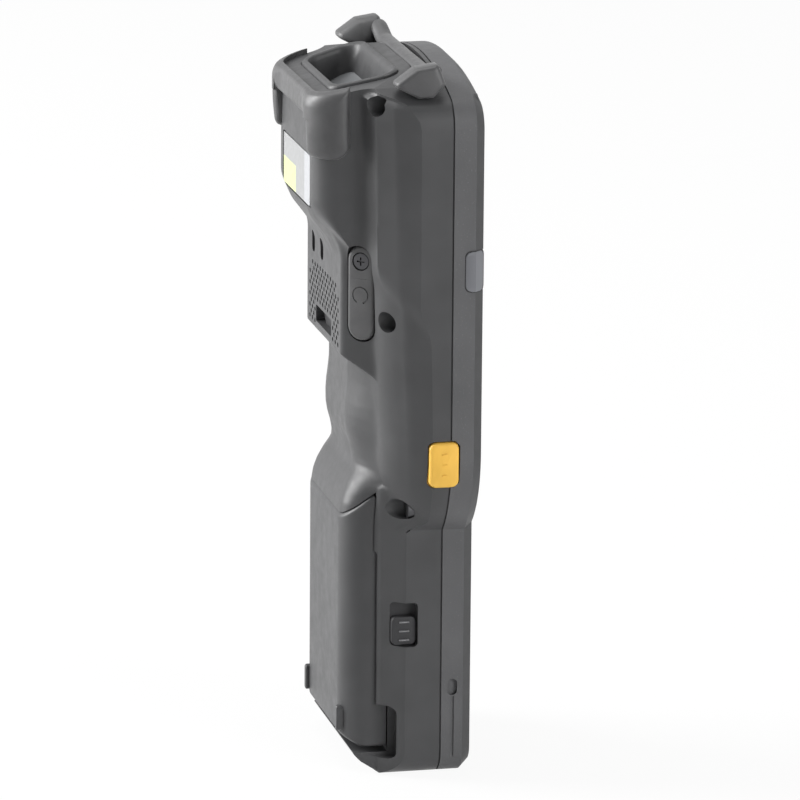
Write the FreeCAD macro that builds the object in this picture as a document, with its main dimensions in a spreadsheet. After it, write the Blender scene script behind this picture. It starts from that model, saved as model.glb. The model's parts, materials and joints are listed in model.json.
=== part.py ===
import FreeCAD, Part
import os
import re
import Sketcher

# Portable barcode data terminal, standing on its flat lower end.
# +Z runs up the terminal, -Y is the keypad side, +Y the battery side, and x = 0 its middle plane.

doc = FreeCAD.newDocument("DataTerminal")
sheet = doc.addObject("Spreadsheet::Sheet", "Dims")

# Driving dimensions, in millimetres and degrees
SIZES = {
    # outline of both housings, seen from the keypad side
    "head_half": 40.4, "handle_half": 31.0, "dome_top": 186.5, "dome_radius": 113.0,
    "head_corner": 8.0, "base_corner": 7.0, "waist_top": 88.0, "waist_rise": 21.5,
    # depth of the two shells, measured from the plane y = 0
    "seam_depth": 12.4, "rim_depth": 18.1, "edge_depth": 20.6, "face_depth": 21.0,
    "edge_inset": 2.4, "face_inset": 6.0, "wall": 2.2,
    # shoulders of the rear housing, as leaning planes
    "collar_foot": -9.5, "collar_lean": 1.32, "ridge_foot": -7.2, "ridge_inset": 3.4,
    "shoulder_foot": -2.1, "shoulder_inset": 9.4, "shoulder_lean": 3.05, "cavity_back": -7.6,
    # scan engine bulge and its leaning top
    "bulge_half": 26.5, "bulge_back": 20.0, "bulge_corner": 8.0, "bulge_foot": 144.5,
    "top_height": 184.1, "top_lean": 13.6,
    "recess_back_half": 19.5, "recess_front_half": 24.0, "recess_back": 15.5, "recess_front": -2.6,
    "recess_floor": 178.6, "window_lean": 25.0, "window_thick": 1.2, "bezel_rim": 1.4,
    # speaker section
    "speaker_half": 20.8, "speaker_back": 12.6, "speaker_side": 27.8, "speaker_side_y": 3.6,
    "speaker_foot": 109.0, "hole_dia": 1.1, "hole_pitch_x": 2.6, "hole_pitch_z": 2.5,
    # handle, battery and its bay
    "rail_back": 3.4, "rail_half": 26.2, "bay_half": 25.1, "bay_floor": 0.4,
    "battery_half": 24.6, "battery_back": 12.2, "battery_corner": 8.0, "battery_top": 68.3,
    "neck_line": 81.0, "neck_corner": 16.0, "side_reach": 29.0, "battery_foot": 9.5, "battery_gap": 0.35, "parting_rise": 0.85, "foot_rise": 0.53,
    "tongue_foot": 70.5, "tongue_y": 4.3, "sole_z": 7.0, "lip_top": 5.6,
    # screws
    "screw_x": 32.0, "screw_low_x": 30.0, "screw_top_z": 178.5, "screw_mid_z": 122.3,
    "screw_low_z": 72.3, "bore_dia": 5.4, "bore_floor": -4.6, "shank_dia": 2.5, "head_dia": 4.8,
    # keypad
    "key_gap": 0.3, "key_proud": 1.5, "key_lip": 0.7, "key_lip_thick": 0.6,
    "number_key_wide": 13.0, "number_key_high": 7.8, "number_pitch_x": 17.0, "number_pitch_z": 11.8,
    "number_row_z": 13.6, "nav_z": 78.0,
    # side keys and latches
    "side_key_y": 10.4, "side_key_wide": 7.7, "side_key_z": 86.1, "side_key_high": 11.9,
    "side_key_proud": 0.9, "latch_y": 2.6, "latch_wide": 6.5, "latch_z": 35.4, "latch_pocket": 11.8,
    "latch_high": 7.6,
    # display
    "window_half": 30.5, "window_foot": 98.0, "window_head": 176.0, "glass_thick": 1.3,
    # jack cover
    "cover_long": 25.0, "cover_wide": 7.5, "cover_thick": 3.2, "cover_z": 128.5,
    "jack_x": -22.5, "jack_y": 6.5, "jack_turn": 52.3,
    # small parts
    "screw_post": 2.4, "lens_z": 136.5, "lens_high": 10.6, "lens_wide": 3.1, "lens_deep": 3.4,
    "strip_foot": 183.6, "strip_back": 6.2, "strip_front": 10.8, "cap_x": 34.0, "cap_foot": 178.4, "cap_top": 190.0,
    "key_crown": 0.5, "bumper_thick": 2.5, "bumper_foot": 163.5, "bumper_bridge": 173.5, "bumper_gap": 14.5,
    "cover_anchor": 8.6, "contact_z": 58.0, "dock_half": 8.8,
    "latch_deep": 3.4, "label_half": 16.1, "label_low": 149.8, "label_high": 163.0, "label_sunk": 0.6,
}

for row, (name, value) in enumerate(SIZES.items(), start=1):
    sheet.set(f"A{row}", name)
    sheet.set(f"B{row}", str(value))
    sheet.setAlias(f"B{row}", name)
doc.recompute()


def bound(text):
    """A size written with the sheet's names, as an expression that the document follows."""
    return re.sub(r"[a-z_]+", lambda word: "Dims." + word[0] if word[0] in SIZES else word[0], str(text))


def value_of(text):
    """The number that a size or an expression of sizes has now."""
    result = sheet.evalExpression(bound(text))
    return float(getattr(result, "Value", result))


def new_body(label):
    """An empty PartDesign body whose label names its file."""
    made = doc.addObject("PartDesign::Body", label)
    made.Label = label
    return made


def origin_plane(body, role):
    """One of a body's own origin planes."""
    return next(item for item in body.Origin.OriginFeatures if item.Role == role)


def sketch(body, role, outlines, offset="0", lean=None, turn=None):
    """A sketch of closed outlines on an origin plane, moved from it, and leaned about x or turned about y.

    Each outline is a list of corners (x, y) or (x, y, radius), counterclockwise. With a radius the run to
    the next corner is an arc: it bulges outwards, or inwards where the radius starts with "in ".
    """
    made = body.newObject("Sketcher::SketchObject", body.Label + "_sketch")
    made.AttachmentSupport = [(origin_plane(body, role), "")]
    made.MapMode = "FlatFace"
    angle = lean if lean is not None else turn
    if angle is not None:
        axis = FreeCAD.Vector(1, 0, 0) if lean is not None else FreeCAD.Vector(0, 1, 0)
        made.AttachmentOffset = FreeCAD.Placement(FreeCAD.Vector(), FreeCAD.Rotation(axis, 1))
        made.setExpression("AttachmentOffset.Rotation.Angle", bound(angle))
    shift = offset if isinstance(offset, tuple) else ("0", "0", offset)
    for letter, text in zip("xyz", shift):
        made.setExpression(f"AttachmentOffset.Base.{letter}", bound(text))
    for outline in outlines:
        draw_outline(made, outline)
    return made


def draw_outline(made, outline):
    """One closed outline whose corners and radii are bound to the sheet."""
    first = made.GeometryCount
    if isinstance(outline, tuple):
        x, y, radius = outline
        made.addGeometry(Part.Circle(FreeCAD.Vector(value_of(x), value_of(y), 0), FreeCAD.Vector(0, 0, 1),
                                     value_of(radius)))
        sizes = [("DistanceX", x, (-1, 1, first, 3)), ("DistanceY", y, (-1, 1, first, 3)), ("Radius", radius, (first,))]
        constrain(made, [], sizes)
        return
    corners = [FreeCAD.Vector(value_of(c[0]), value_of(c[1]), 0) for c in outline]
    runs, ends = [], []
    for index, corner in enumerate(outline):
        here, there = corners[index], corners[(index + 1) % len(corners)]
        inward = len(corner) == 3 and corner[2].startswith("in ")
        ends.append((2, 1) if inward else (1, 2))
        if len(corner) == 2:
            runs.append(Part.LineSegment(here, there))
        elif inward:
            runs.append(arc_between(there, here, value_of(corner[2].removeprefix("in "))))
        else:
            runs.append(arc_between(here, there, value_of(corner[2])))
    made.addGeometry(runs)
    joins, sizes = [], []
    for index, corner in enumerate(outline):
        after = (index + 1) % len(outline)
        joins.append(Sketcher.Constraint("Coincident", first + index, ends[index][1], first + after, ends[after][0]))
        sizes.append(("DistanceX", corner[0], (-1, 1, first + index, ends[index][0])))
        sizes.append(("DistanceY", corner[1], (-1, 1, first + index, ends[index][0])))
        if len(corner) == 3:
            sizes.append(("Radius", corner[2].removeprefix("in "), (first + index,)))
    constrain(made, joins, sizes)


def constrain(made, joins, sizes):
    """Adds the joins and then the sizes (kind, expression, places), and binds each size to the sheet."""
    start = made.ConstraintCount + len(joins)
    made.addConstraint(joins + [Sketcher.Constraint(kind, *where, value_of(text)) for kind, text, where in sizes])
    for index, (_, text, _) in enumerate(sizes, start=start):
        made.setExpression(f"Constraints[{index}]", bound(text))


def arc_between(start, end, radius):
    """The shorter counterclockwise arc from start to end."""
    chord = end - start
    middle = (start + end) * 0.5
    reach = max(radius ** 2 - (chord.Length / 2) ** 2, 0.0) ** 0.5
    left = FreeCAD.Vector(-chord.y, chord.x, 0).normalize()
    top = middle + left * (reach - radius)
    return Part.Arc(start, top, end)


def feature(body, kind, profile, **settings):
    """A PartDesign feature on a profile; settings that are text are bound to the sheet."""
    made = body.newObject("PartDesign::" + kind, f"{body.Label}_{kind.lower()}")
    made.Profile = profile
    made.Refine = False
    for key, value in settings.items():
        if isinstance(value, str) and key != "Type":
            made.setExpression(key, bound(value))
        else:
            setattr(made, key, value)
    return made


def loft(body, kind, sketches, ruled=True):
    """A loft through sketches with the same number of runs."""
    made = body.newObject("PartDesign::" + kind, f"{body.Label}_loft")
    made.Profile = sketches[0]
    made.Sections = sketches[1:]
    made.Ruled = ruled
    made.Refine = False
    return made


def in_row(body, source, count, pitch):
    """The same feature repeated along the body's X axis."""
    made = body.newObject("PartDesign::LinearPattern", body.Label + "_row")
    made.Originals = [source]
    made.Direction = (next(item for item in body.Origin.OriginFeatures if item.Role == "X_Axis"), [""])
    made.Occurrences = count
    made.setExpression("Length", bound(f"{count - 1} * {pitch}"))
    made.Refine = False
    body.Tip = made
    return made


def mirrored(body, source):
    """The same feature again on the other side of x = 0."""
    made = body.newObject("PartDesign::Mirrored", body.Label + "_mirror")
    made.Originals = [source]
    made.MirrorPlane = (origin_plane(body, "YZ_Plane"), [""])
    made.Refine = False
    body.Tip = made
    return made


def rounded(x, y, wide, high, radius):
    """A rounded rectangle about (x, y)."""
    west, east = f"({x}) - ({wide})/2", f"({x}) + ({wide})/2"
    south, north = f"({y}) - ({high})/2", f"({y}) + ({high})/2"
    r = f"({radius})"
    return [(f"{west} + {r}", south), (f"{east} - {r}", south, r), (east, f"{south} + {r}"),
            (east, f"{north} - {r}", r), (f"{east} - {r}", north), (f"{west} + {r}", north, r),
            (west, f"{north} - {r}"), (west, f"{south} + {r}", r)]


def rectangle(x, y, wide, high):
    """A plain rectangle about (x, y)."""
    west, east = f"({x}) - ({wide})/2", f"({x}) + ({wide})/2"
    south, north = f"({y}) - ({high})/2", f"({y}) + ({high})/2"
    return [(west, south), (east, south), (east, north), (west, north)]


def chamfered(x, y, wide, high, radius):
    """A rectangle about (x, y) whose corners are cut straight, close to a rounding of that radius."""
    west, east = f"({x}) - ({wide})/2", f"({x}) + ({wide})/2"
    south, north = f"({y}) - ({high})/2", f"({y}) + ({high})/2"
    r = f"0.65*({radius})"
    return [(f"{west} + {r}", south), (f"{east} - {r}", south), (east, f"{south} + {r}"), (east, f"{north} - {r}"),
            (f"{east} - {r}", north), (f"{west} + {r}", north), (west, f"{north} - {r}"), (west, f"{south} + {r}")]


def hexagon(x, y, radius):
    """A regular hexagon about (x, y) with corners left and right."""
    turns = [(1, 0), (0.5, 0.866), (-0.5, 0.866), (-1, 0), (-0.5, -0.866), (0.5, -0.866)]
    return [(f"({x}) + {across}*({radius})", f"({y}) + {up}*({radius})") for across, up in turns]


def circle(x, y, radius):
    """A circle's centre and radius, for use as an outline."""
    return (x, y, radius)


def mirror_outline(half):
    """A closed outline from the corners of its right half, listed from the lower to the upper end."""
    left = []
    count = len(half)
    for index in range(count - 1, -1, -1):
        x, y = half[index][0], half[index][1]
        before = half[index - 1] if index > 0 else ()
        left.append((f"-({x})", y, before[2]) if len(before) == 3 else (f"-({x})", y))
    return half + left


def housing_outline(inset, top_inset=None, head_only=False):
    """The front view of both housings, or of the head alone, moved inwards by an inset."""
    drop = inset if top_inset is None else top_inset
    step = "(head_half - handle_half)"
    radius = f"((waist_rise^2 + {step}^2) / (2*{step}))"
    waist_foot = f"waist_top - sqrt(({radius} - ({inset}))^2 - ({radius} - ({inset}) - {step})^2)"
    corner = f"(head_corner - 0.5*({inset}))"
    side = f"(head_half - ({inset}))"
    dome = f"(dome_radius - ({drop}))"
    dome_foot = "(dome_top - dome_radius)"
    rise = f"sqrt(({dome} - {corner})^2 - ({side} - {corner})^2)"
    reach = f"({dome} / ({dome} - {corner}))"
    foot = [
        ("handle_half - base_corner", inset, f"base_corner - ({inset})"),
        (f"handle_half - ({inset})", "base_corner"),
    ]
    half = ([] if head_only else foot) + [
        (f"handle_half - ({inset})", waist_foot, f"{radius} - ({inset})"),
        (side, "waist_top"),
        (side, f"{dome_foot} + {rise}", corner),
        (f"({side} - {corner}) * {reach}", f"{dome_foot} + {rise} * {reach}"),
    ]
    outline = mirror_outline(half)
    outline[len(half) - 1] = (*half[-1], dome)
    return outline


def battery_end(y):
    """The height of the battery's slanted upper end at a depth y."""
    return f"battery_top + parting_rise*(battery_back - ({y}))"


def make_front_housing():
    """Keypad-side shell: dished rim, chamfered edge, flat face, and its openings."""
    body = new_body("front_housing")
    levels = [("0", "seam_depth"), ("0", "rim_depth"), ("edge_inset", "edge_depth"), ("face_inset", "face_depth")]
    loft(body, "AdditiveLoft", [sketch(body, "XZ_Plane", [housing_outline(i)], d) for i, d in levels])
    hollow = sketch(body, "XZ_Plane", [housing_outline("wall")], "seam_depth")
    feature(body, "Pocket", hollow, Length="face_depth - wall - seam_depth", Reversed=True)
    posts = [circle(f"{side}{x}", z, "screw_post") for x, z in SCREWS for side in ("-", "")]
    feature(body, "Pad", sketch(body, "XZ_Plane", posts, "-cavity_back + 0.1"),
            Length="face_depth - wall/2 + cavity_back - 0.1")
    window = rounded("0", "(window_foot + window_head)/2", "2*window_half", "window_head - window_foot", "3")
    seat = sketch(body, "XZ_Plane", [window], "face_depth + 1")
    feature(body, "Pocket", seat, Length="glass_thick + 1 + 0.1")
    sight = rounded("0", "(window_foot + window_head)/2", "2*window_half - 4", "window_head - window_foot - 4", "2")
    feature(body, "Pocket", sketch(body, "XZ_Plane", [sight], "face_depth"), Length="wall + 1")
    for row in KEY_ROWS:
        holes = [chamfered(x, z, f"{wide} + 2*key_gap", f"{high} + 2*key_gap", radius)
                 for _, x, z, wide, high, radius in row]
        feature(body, "Pocket", sketch(body, "XZ_Plane", holes, "face_depth"), Length="wall + 1")
    cut_side_openings(body)
    lens = rounded("-(face_depth - 0.2)", "lens_z", "2*lens_wide", "lens_high", "0.1")
    west = sketch(body, "YZ_Plane", [lens], "-head_half - 1")
    mirrored(body, feature(body, "Pocket", west, Length="1 + lens_deep", Reversed=True))
    catch = rounded("-15.3", "24", "2.6", "4.4", "1.25")
    west = sketch(body, "YZ_Plane", [catch], "-handle_half - 1")
    mirrored(body, feature(body, "Pocket", west, Length="1 + 1.0", Reversed=True))
    groove = rectangle("-15.3", "12.5", "1", "18")
    west = sketch(body, "YZ_Plane", [groove], "-handle_half - 1")
    mirrored(body, feature(body, "Pocket", west, Length="1 + 0.4", Reversed=True))
    pilots = [circle(f"{side}{x}", z, "shank_dia/2") for x, z in SCREWS for side in ("-", "")]
    feature(body, "Pocket", sketch(body, "XZ_Plane", pilots, "-cavity_back"), Length="7", Reversed=True)
    return body


def cut_side_openings(body):
    """The openings of the two side keys, which the seam crosses, and the rooms for their lips."""
    room = rectangle("-side_key_y", "side_key_z", "side_key_wide + 2.4", "side_key_high + 2.4")
    feature(body, "Pocket", sketch(body, "YZ_Plane", [room]), Length="2*(head_half - wall)", Midplane=True)
    hole = chamfered("-side_key_y", "side_key_z", "side_key_wide + 2*key_gap", "side_key_high + 2*key_gap", "2")
    feature(body, "Pocket", sketch(body, "YZ_Plane", [hole]), Length="2*head_half + 2", Midplane=True)


def make_rear_housing():
    """Battery-side shell: collar, leaning shoulders, engine bulge, speaker section, neck and battery bay."""
    body = new_body("rear_housing")
    collar = [
        sketch(body, "XZ_Plane", [housing_outline("0")], "seam_depth"),
        sketch(body, "XZ_Plane", [housing_outline("0")], "-collar_foot", "-collar_lean"),
        sketch(body, "XZ_Plane", [housing_outline("ridge_inset", "0.8")], "-ridge_foot", "-shoulder_lean"),
    ]
    loft(body, "AdditiveLoft", collar)
    shoulder = [
        sketch(body, "XZ_Plane", [housing_outline("ridge_inset", "0.8", True)], "-ridge_foot", "-shoulder_lean"),
        sketch(body, "XZ_Plane", [housing_outline("shoulder_inset", "2", True)], "-shoulder_foot", "-shoulder_lean"),
    ]
    loft(body, "AdditiveLoft", shoulder)
    rails = mirror_outline([("handle_half", "-11"), ("handle_half", "-2.4", "2.5"),
                            ("handle_half - 1.8", "-0.4"), ("rail_half", "rail_back")])
    feature(body, "Pad", sketch(body, "XY_Plane", [rails]), Length="waist_top - waist_rise + 6")
    lip = [("-4", "0"), ("2.3", "0"), ("7.5", "3.2"), ("9.6", "5.4"), ("9.6", "12"), ("-4", "12")]
    feature(body, "Pad", sketch(body, "YZ_Plane", [lip]), Length="2*bay_half - 1", Midplane=True)
    corner = [("handle_half - base_corner", "0.05"), ("handle_half - base_corner", "-1"), ("handle_half + 5", "-1"),
              ("handle_half + 5", "base_corner"), ("handle_half - 0.05", "base_corner", "in base_corner - 0.05")]
    mirrored(body, feature(body, "Pocket", sketch(body, "XZ_Plane", [corner], "seam_depth + 1"), Length="50"))
    feature(body, "Pad", sketch(body, "YZ_Plane", [NECK_PROFILE]), Length="56", Midplane=True)
    for low, high, flat, back, side in NECK_FLANKS:
        flank = [(side, "4"), ("side_reach", "4"), ("side_reach", "30"), (flat, "30"), (flat, back, "in neck_corner")]
        cut = feature(body, "Pocket", sketch(body, "XY_Plane", [flank], low), Length=f"{high} - {low}", Reversed=True)
        mirrored(body, cut)
    speaker = mirror_outline([("speaker_side", "-4"), ("speaker_side", "speaker_side_y"),
                              ("speaker_half + 0.6", "speaker_back - 0.9", "1.5"), ("speaker_half - 0.9", "speaker_back")])
    feature(body, "Pad", sketch(body, "XY_Plane", [speaker], "speaker_foot"),
            Length="bulge_foot - speaker_foot + 3")
    bulge = mirror_outline([("bulge_half + 5", "-4"), ("bulge_half + 5", "5.5", "in 6"), ("bulge_half", "11.5"),
                            ("bulge_half", "bulge_back - bulge_corner", "bulge_corner"),
                            ("bulge_half - bulge_corner", "bulge_back")])
    feature(body, "Pad", sketch(body, "XY_Plane", [bulge], "bulge_foot"), Length="dome_top - bulge_foot + 3")
    lobes = [circle(f"{side}screw_x", "screw_top_z", "bore_dia/2 + 2.6") for side in ("-", "")]
    feature(body, "Pad", sketch(body, "XZ_Plane", lobes, "-6"), Length="14")
    cut_rear_top(body)
    cut_rear_wells(body)
    cut_battery_bay(body)
    cut_rear_details(body)
    return body


def cut_rear_top(body):
    """The leaning top of the bulge, and the tapered scan recess in it."""
    above = [("-11", "top_height + 11*tan(top_lean)"), ("30", "top_height - 30*tan(top_lean)"),
             ("30", "230"), ("-11", "230")]
    feature(body, "Pocket", sketch(body, "YZ_Plane", [above]), Length="2*bulge_half + 11", Midplane=True)
    groove = rounded("0", "strip_foot + 20", "62.6", "40.2", "0.5")
    feature(body, "Pocket", sketch(body, "XZ_Plane", [groove], "strip_back - 0.1"),
            Length="strip_front - strip_back + 0.2", Reversed=True)
    corners = [rounded(f"{side}cap_x", "-4.5", "8.3", "13.3", "1.3") for side in ("-", "")]
    feature(body, "Pocket", sketch(body, "XY_Plane", corners, "cap_foot - 0.1"), Length="20", Reversed=True)
    recess = mirror_outline([("recess_front_half", "recess_front"), ("recess_back_half", "recess_back")])
    feature(body, "Pocket", sketch(body, "XY_Plane", [recess], "160"), Length="40", Reversed=True)


def cut_rear_wells(body):
    """The hollow inside, as steps that follow the outside with the wall left between."""
    hollow = sketch(body, "XZ_Plane", [housing_outline("wall")], "seam_depth")
    feature(body, "Pocket", hollow, Length="seam_depth + cavity_back")
    for half, low, high, back in WELLS:
        well = rounded("0", f"({low} + {high})/2", f"2*({half})", f"({high}) - ({low})", "2")
        feature(body, "Pocket", sketch(body, "XZ_Plane", [well], "seam_depth"), Length=f"seam_depth + ({back})")


def cut_battery_bay(body):
    """The bay between the rails, its slanted upper end over the battery's tongue, and a finger notch each side."""
    floor = "bay_floor"
    bay = [(floor, "lip_top"), ("30", "lip_top"), ("30", f"{battery_end('30')} + battery_gap"),
           (floor, f"{battery_end(floor)} + battery_gap")]
    feature(body, "Pocket", sketch(body, "YZ_Plane", [bay]), Length="2*bay_half", Midplane=True)
    notch = rounded("-27", "11.8", "5.2", "14.4", "2")
    west = sketch(body, "XZ_Plane", [notch], "1.6")
    mirrored(body, feature(body, "Pocket", west, Length="12"))


def cut_rear_details(body):
    """Screw bores, side openings, latch pockets, grille, slots, label seat and jack cover seat."""
    sides = ("-", "")
    bores = [circle(f"{side}{x}", z, "bore_dia/2") for x, z in SCREWS for side in sides]
    feature(body, "Pocket", sketch(body, "XZ_Plane", bores, "-bore_floor"), Length="30")
    rooms = [circle(f"{side}{x}", z, "screw_post + 0.2") for x, z in SCREWS for side in sides]
    feature(body, "Pocket", sketch(body, "XZ_Plane", rooms, "seam_depth"), Length="seam_depth + cavity_back")
    shanks = [circle(f"{side}{x}", z, "shank_dia/2 + 0.2") for x, z in SCREWS for side in sides]
    feature(body, "Pocket", sketch(body, "XZ_Plane", shanks, "seam_depth"), Length="seam_depth")
    cut_side_openings(body)
    contact = rounded("0", "contact_z", "19.4", "6.2", "0.5")
    feature(body, "Pocket", sketch(body, "XZ_Plane", [contact], "-bay_floor - 1"), Length="4", Reversed=True)
    dock = rounded("0", "-9.8", "2*dock_half + 0.4", "4", "0.6")
    feature(body, "Pocket", sketch(body, "XY_Plane", [dock], "-1"), Length="4", Reversed=True)
    latch = rounded("-latch_y", "latch_z + latch_pocket/2", "latch_wide + 0.4", "latch_pocket", "1.2")
    west = sketch(body, "YZ_Plane", [latch], "-handle_half - 1")
    mirrored(body, feature(body, "Pocket", west, Length="1 + latch_deep", Reversed=True))
    for first_column, columns, rows in GRILLE:
        holes = [hexagon(f"{first_column} * hole_pitch_x", f"speaker_foot + 4 + {row} * hole_pitch_z", "hole_dia/2")
                 for row in rows]
        drilled = feature(body, "Pocket", sketch(body, "XZ_Plane", holes, "-speaker_back - 1"), Length="4",
                          Reversed=True)
        in_row(body, drilled, columns, "hole_pitch_x")
    slot = rounded("1.5", "speaker_foot + 6.4", "17", "4.6", "0.6")
    feature(body, "Pocket", sketch(body, "XZ_Plane", [slot], "-speaker_back - 1"), Length="1 + 1.3", Reversed=True)
    mics = [rounded(x, "137.2", "2.2", "5.6", "1.05") for x in ("2", "12.5")]
    feature(body, "Pocket", sketch(body, "XZ_Plane", mics, "-speaker_back - 1"), Length="6", Reversed=True)
    panel = rounded("0", "(label_low + label_high)/2", "2*label_half + 1", "label_high - label_low + 1", "1")
    feature(body, "Pocket", sketch(body, "XZ_Plane", [panel], "-bulge_back - 1"), Length="1 + label_sunk", Reversed=True)
    seat = sketch(body, "XZ_Plane", [rounded("-0.3", "cover_z", "cover_wide + 1.2", "cover_long + 0.8", "(cover_wide + 1.1)/2")],
                  ("jack_x", "0", "-jack_y"), turn="jack_turn")
    feature(body, "Pocket", seat, Length="9")
    jack = sketch(body, "XZ_Plane", [circle("0", "cover_z - 5", "3.1")], ("jack_x", "0", "-jack_y"), turn="jack_turn")
    feature(body, "Pocket", jack, Length="6", Reversed=True)
    thread = sketch(body, "XZ_Plane", [circle("0", "cover_z + cover_long/2 - 4.2", "1.05")], ("jack_x", "0", "-jack_y"),
                    turn="jack_turn")
    feature(body, "Pocket", thread, Length="5", Reversed=True)


SCREWS = [("screw_x", "screw_top_z"), ("screw_x", "screw_mid_z"), ("screw_low_x", "screw_low_z")]

# Neck seen from the side, as (y, z): the hump over the battery, a scoop and a finger ridge
NECK_PROFILE = [
    ("-4", "62"), ("battery_back", "62"), ("battery_back", "battery_top", "9"), ("9.9", "76.6"),
    ("7.5", "neck_line", "in 14"), ("8.6", "89", "30"), ("8.4", "100"), ("7.6", "104"), ("7.6", "111"), ("-4", "111"),
]

# Rounded flanks of the neck: lower and upper end, half of the flat back, its depth and the half width
NECK_FLANKS = [("62", "neck_line", "15", "battery_back + 0.3", "28"), ("neck_line", "111", "14", "9.3", "28")]

# Grille: first column, number of columns and rows
GRILLE = [(-5.5, 12, range(3, 9)), (-5.5, 2, range(3))]

# Wells of the rear housing: half width, lower end, upper end and back
WELLS = [
    ("24", "10", "64", "-1.6"),
    ("28", "80", "176", "-1"),
    ("21", "82", "109", "5"),
    ("17.5", "speaker_foot + 2.4", "bulge_foot + 4", "speaker_back - 1.8"),
    ("bulge_half - 2.4", "bulge_foot + 2.2", "168", "bulge_back - 2.6"),
]

# Rows of keys: name, centre x and z, width, height and corner radius
NUMBER_SIZE = ("number_key_wide", "number_key_high", "2")
KEY_ROWS = [
    [("key_up", "0", "nav_z + 8.2", "12", "4.8", "1.8"), ("key_down", "0", "nav_z - 8.2", "12", "4.8", "1.8"),
     ("key_power", "-19", "nav_z - 14.5", "7", "4", "1.8")],
    [("key_left", "-10.4", "nav_z", "4.8", "9", "1.8"), ("key_right", "10.4", "nav_z", "4.8", "9", "1.8"),
     ("key_scan", "0", "nav_z", "13", "8.6", "3")],
    [("key_escape", "-20.6", "nav_z", "8.4", "8.4", "2"), ("key_enter", "20.6", "nav_z", "8.4", "8.4", "2")],
]
for row, names in enumerate([("clear", "0", "shift"), ("1", "2", "3"), ("4", "5", "6"), ("7", "8", "9")]):
    height = f"number_row_z + {row} * number_pitch_z"
    KEY_ROWS.append([(f"key_{name}", f"{column - 1} * number_pitch_x", height, *NUMBER_SIZE)
                     for column, name in enumerate(names)])


def plate(label, role, outlines, offset, length, **settings):
    """A piece made by one pad."""
    body = new_body(label)
    feature(body, "Pad", sketch(body, role, outlines, offset), Length=length, **settings)
    return body


def block(label, x, y, z):
    """A plain block between two values on each axis, given as (low, high) pairs."""
    made = doc.addObject("Part::Box", label)
    made.Label = label
    for letter, size, (low, high) in zip("xyz", ("Length", "Width", "Height"), (x, y, z)):
        made.setExpression(size, bound(f"({high}) - ({low})"))
        made.setExpression(f"Placement.Base.{letter}", bound(low))
    return made


def disc(label, centre, y, radius):
    """A round piece whose axis runs along Y, between two values of y."""
    return plate(label, "XZ_Plane", [circle(*centre, radius)], f"-({y[1]})", f"({y[1]}) - ({y[0]})")


def make_key(name, x, z, wide, high, radius):
    """A keypad key: a cap through the front face and a wider lip behind it."""
    body = plate(name, "XZ_Plane", [rectangle(x, z, f"{wide} + 2*key_lip", f"{high} + 2*key_lip")],
                 "face_depth - wall - 0.1", "key_lip_thick", Reversed=True)
    cap = sketch(body, "XZ_Plane", [chamfered(x, z, wide, high, radius)], "face_depth - wall - 0.1")
    feature(body, "Pad", cap, Length="wall + 0.1 + key_proud - key_crown")
    top = [sketch(body, "XZ_Plane", [chamfered(x, z, f"{wide} - 2*{inset}", f"{high} - 2*{inset}", radius)],
                  f"face_depth + key_proud - {drop}") for inset, drop in (("0", "key_crown"), ("key_crown", "0"))]
    loft(body, "AdditiveLoft", top)
    return body


def make_side_key(name, side):
    """An amber key in the flank: a rounded cap, three ticks and a lip behind the wall."""
    body = new_body(name)
    inner = f"{side}*(head_half - wall - 0.2)"
    lip = rectangle("-side_key_y", "side_key_z", "side_key_wide + 1.6", "side_key_high + 1.6")
    feature(body, "Pad", sketch(body, "YZ_Plane", [lip], inner), Length="0.6", Reversed=side > 0)
    cap = chamfered("-side_key_y", "side_key_z", "side_key_wide", "side_key_high", "2")
    feature(body, "Pad", sketch(body, "YZ_Plane", [cap], inner), Length="wall + 0.2 + side_key_proud - 0.5",
            Reversed=side < 0)
    levels = (("0", "0.5"), ("0.5", "0"))
    top = [sketch(body, "YZ_Plane", [chamfered("-side_key_y", "side_key_z", f"side_key_wide - 2*{inset}",
                                               f"side_key_high - 2*{inset}", "2")],
                  f"{side}*(head_half + side_key_proud - {drop})") for inset, drop in levels]
    loft(body, "AdditiveLoft", top)
    ticks = [rectangle("-side_key_y", f"side_key_z + {step}", "2", "0.5") for step in ("-2.6", "0", "2.6")]
    feature(body, "Pad", sketch(body, "YZ_Plane", ticks, f"{side}*(head_half + side_key_proud - 0.1)"),
            Length="0.3", Reversed=side < 0)
    return body


def make_latch(name, side):
    """A battery release slider with three ribs."""
    body = new_body(name)
    inner = f"{side}*(handle_half - latch_deep + 0.2)"
    slider = chamfered("-latch_y", "latch_z + 0.3 + latch_high/2", "latch_wide", "latch_high", "1.4")
    feature(body, "Pad", sketch(body, "YZ_Plane", [slider], inner), Length="latch_deep - 1.2", Reversed=side < 0)
    ribs = [rectangle("-latch_y", f"latch_z + 0.3 + latch_high/2 + {step}", "latch_wide - 2", "0.7")
            for step in ("-2.4", "0", "2.4")]
    feature(body, "Pad", sketch(body, "YZ_Plane", ribs, f"{side}*(handle_half - 1.1)"), Length="0.7",
            Reversed=side < 0)
    return body


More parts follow.
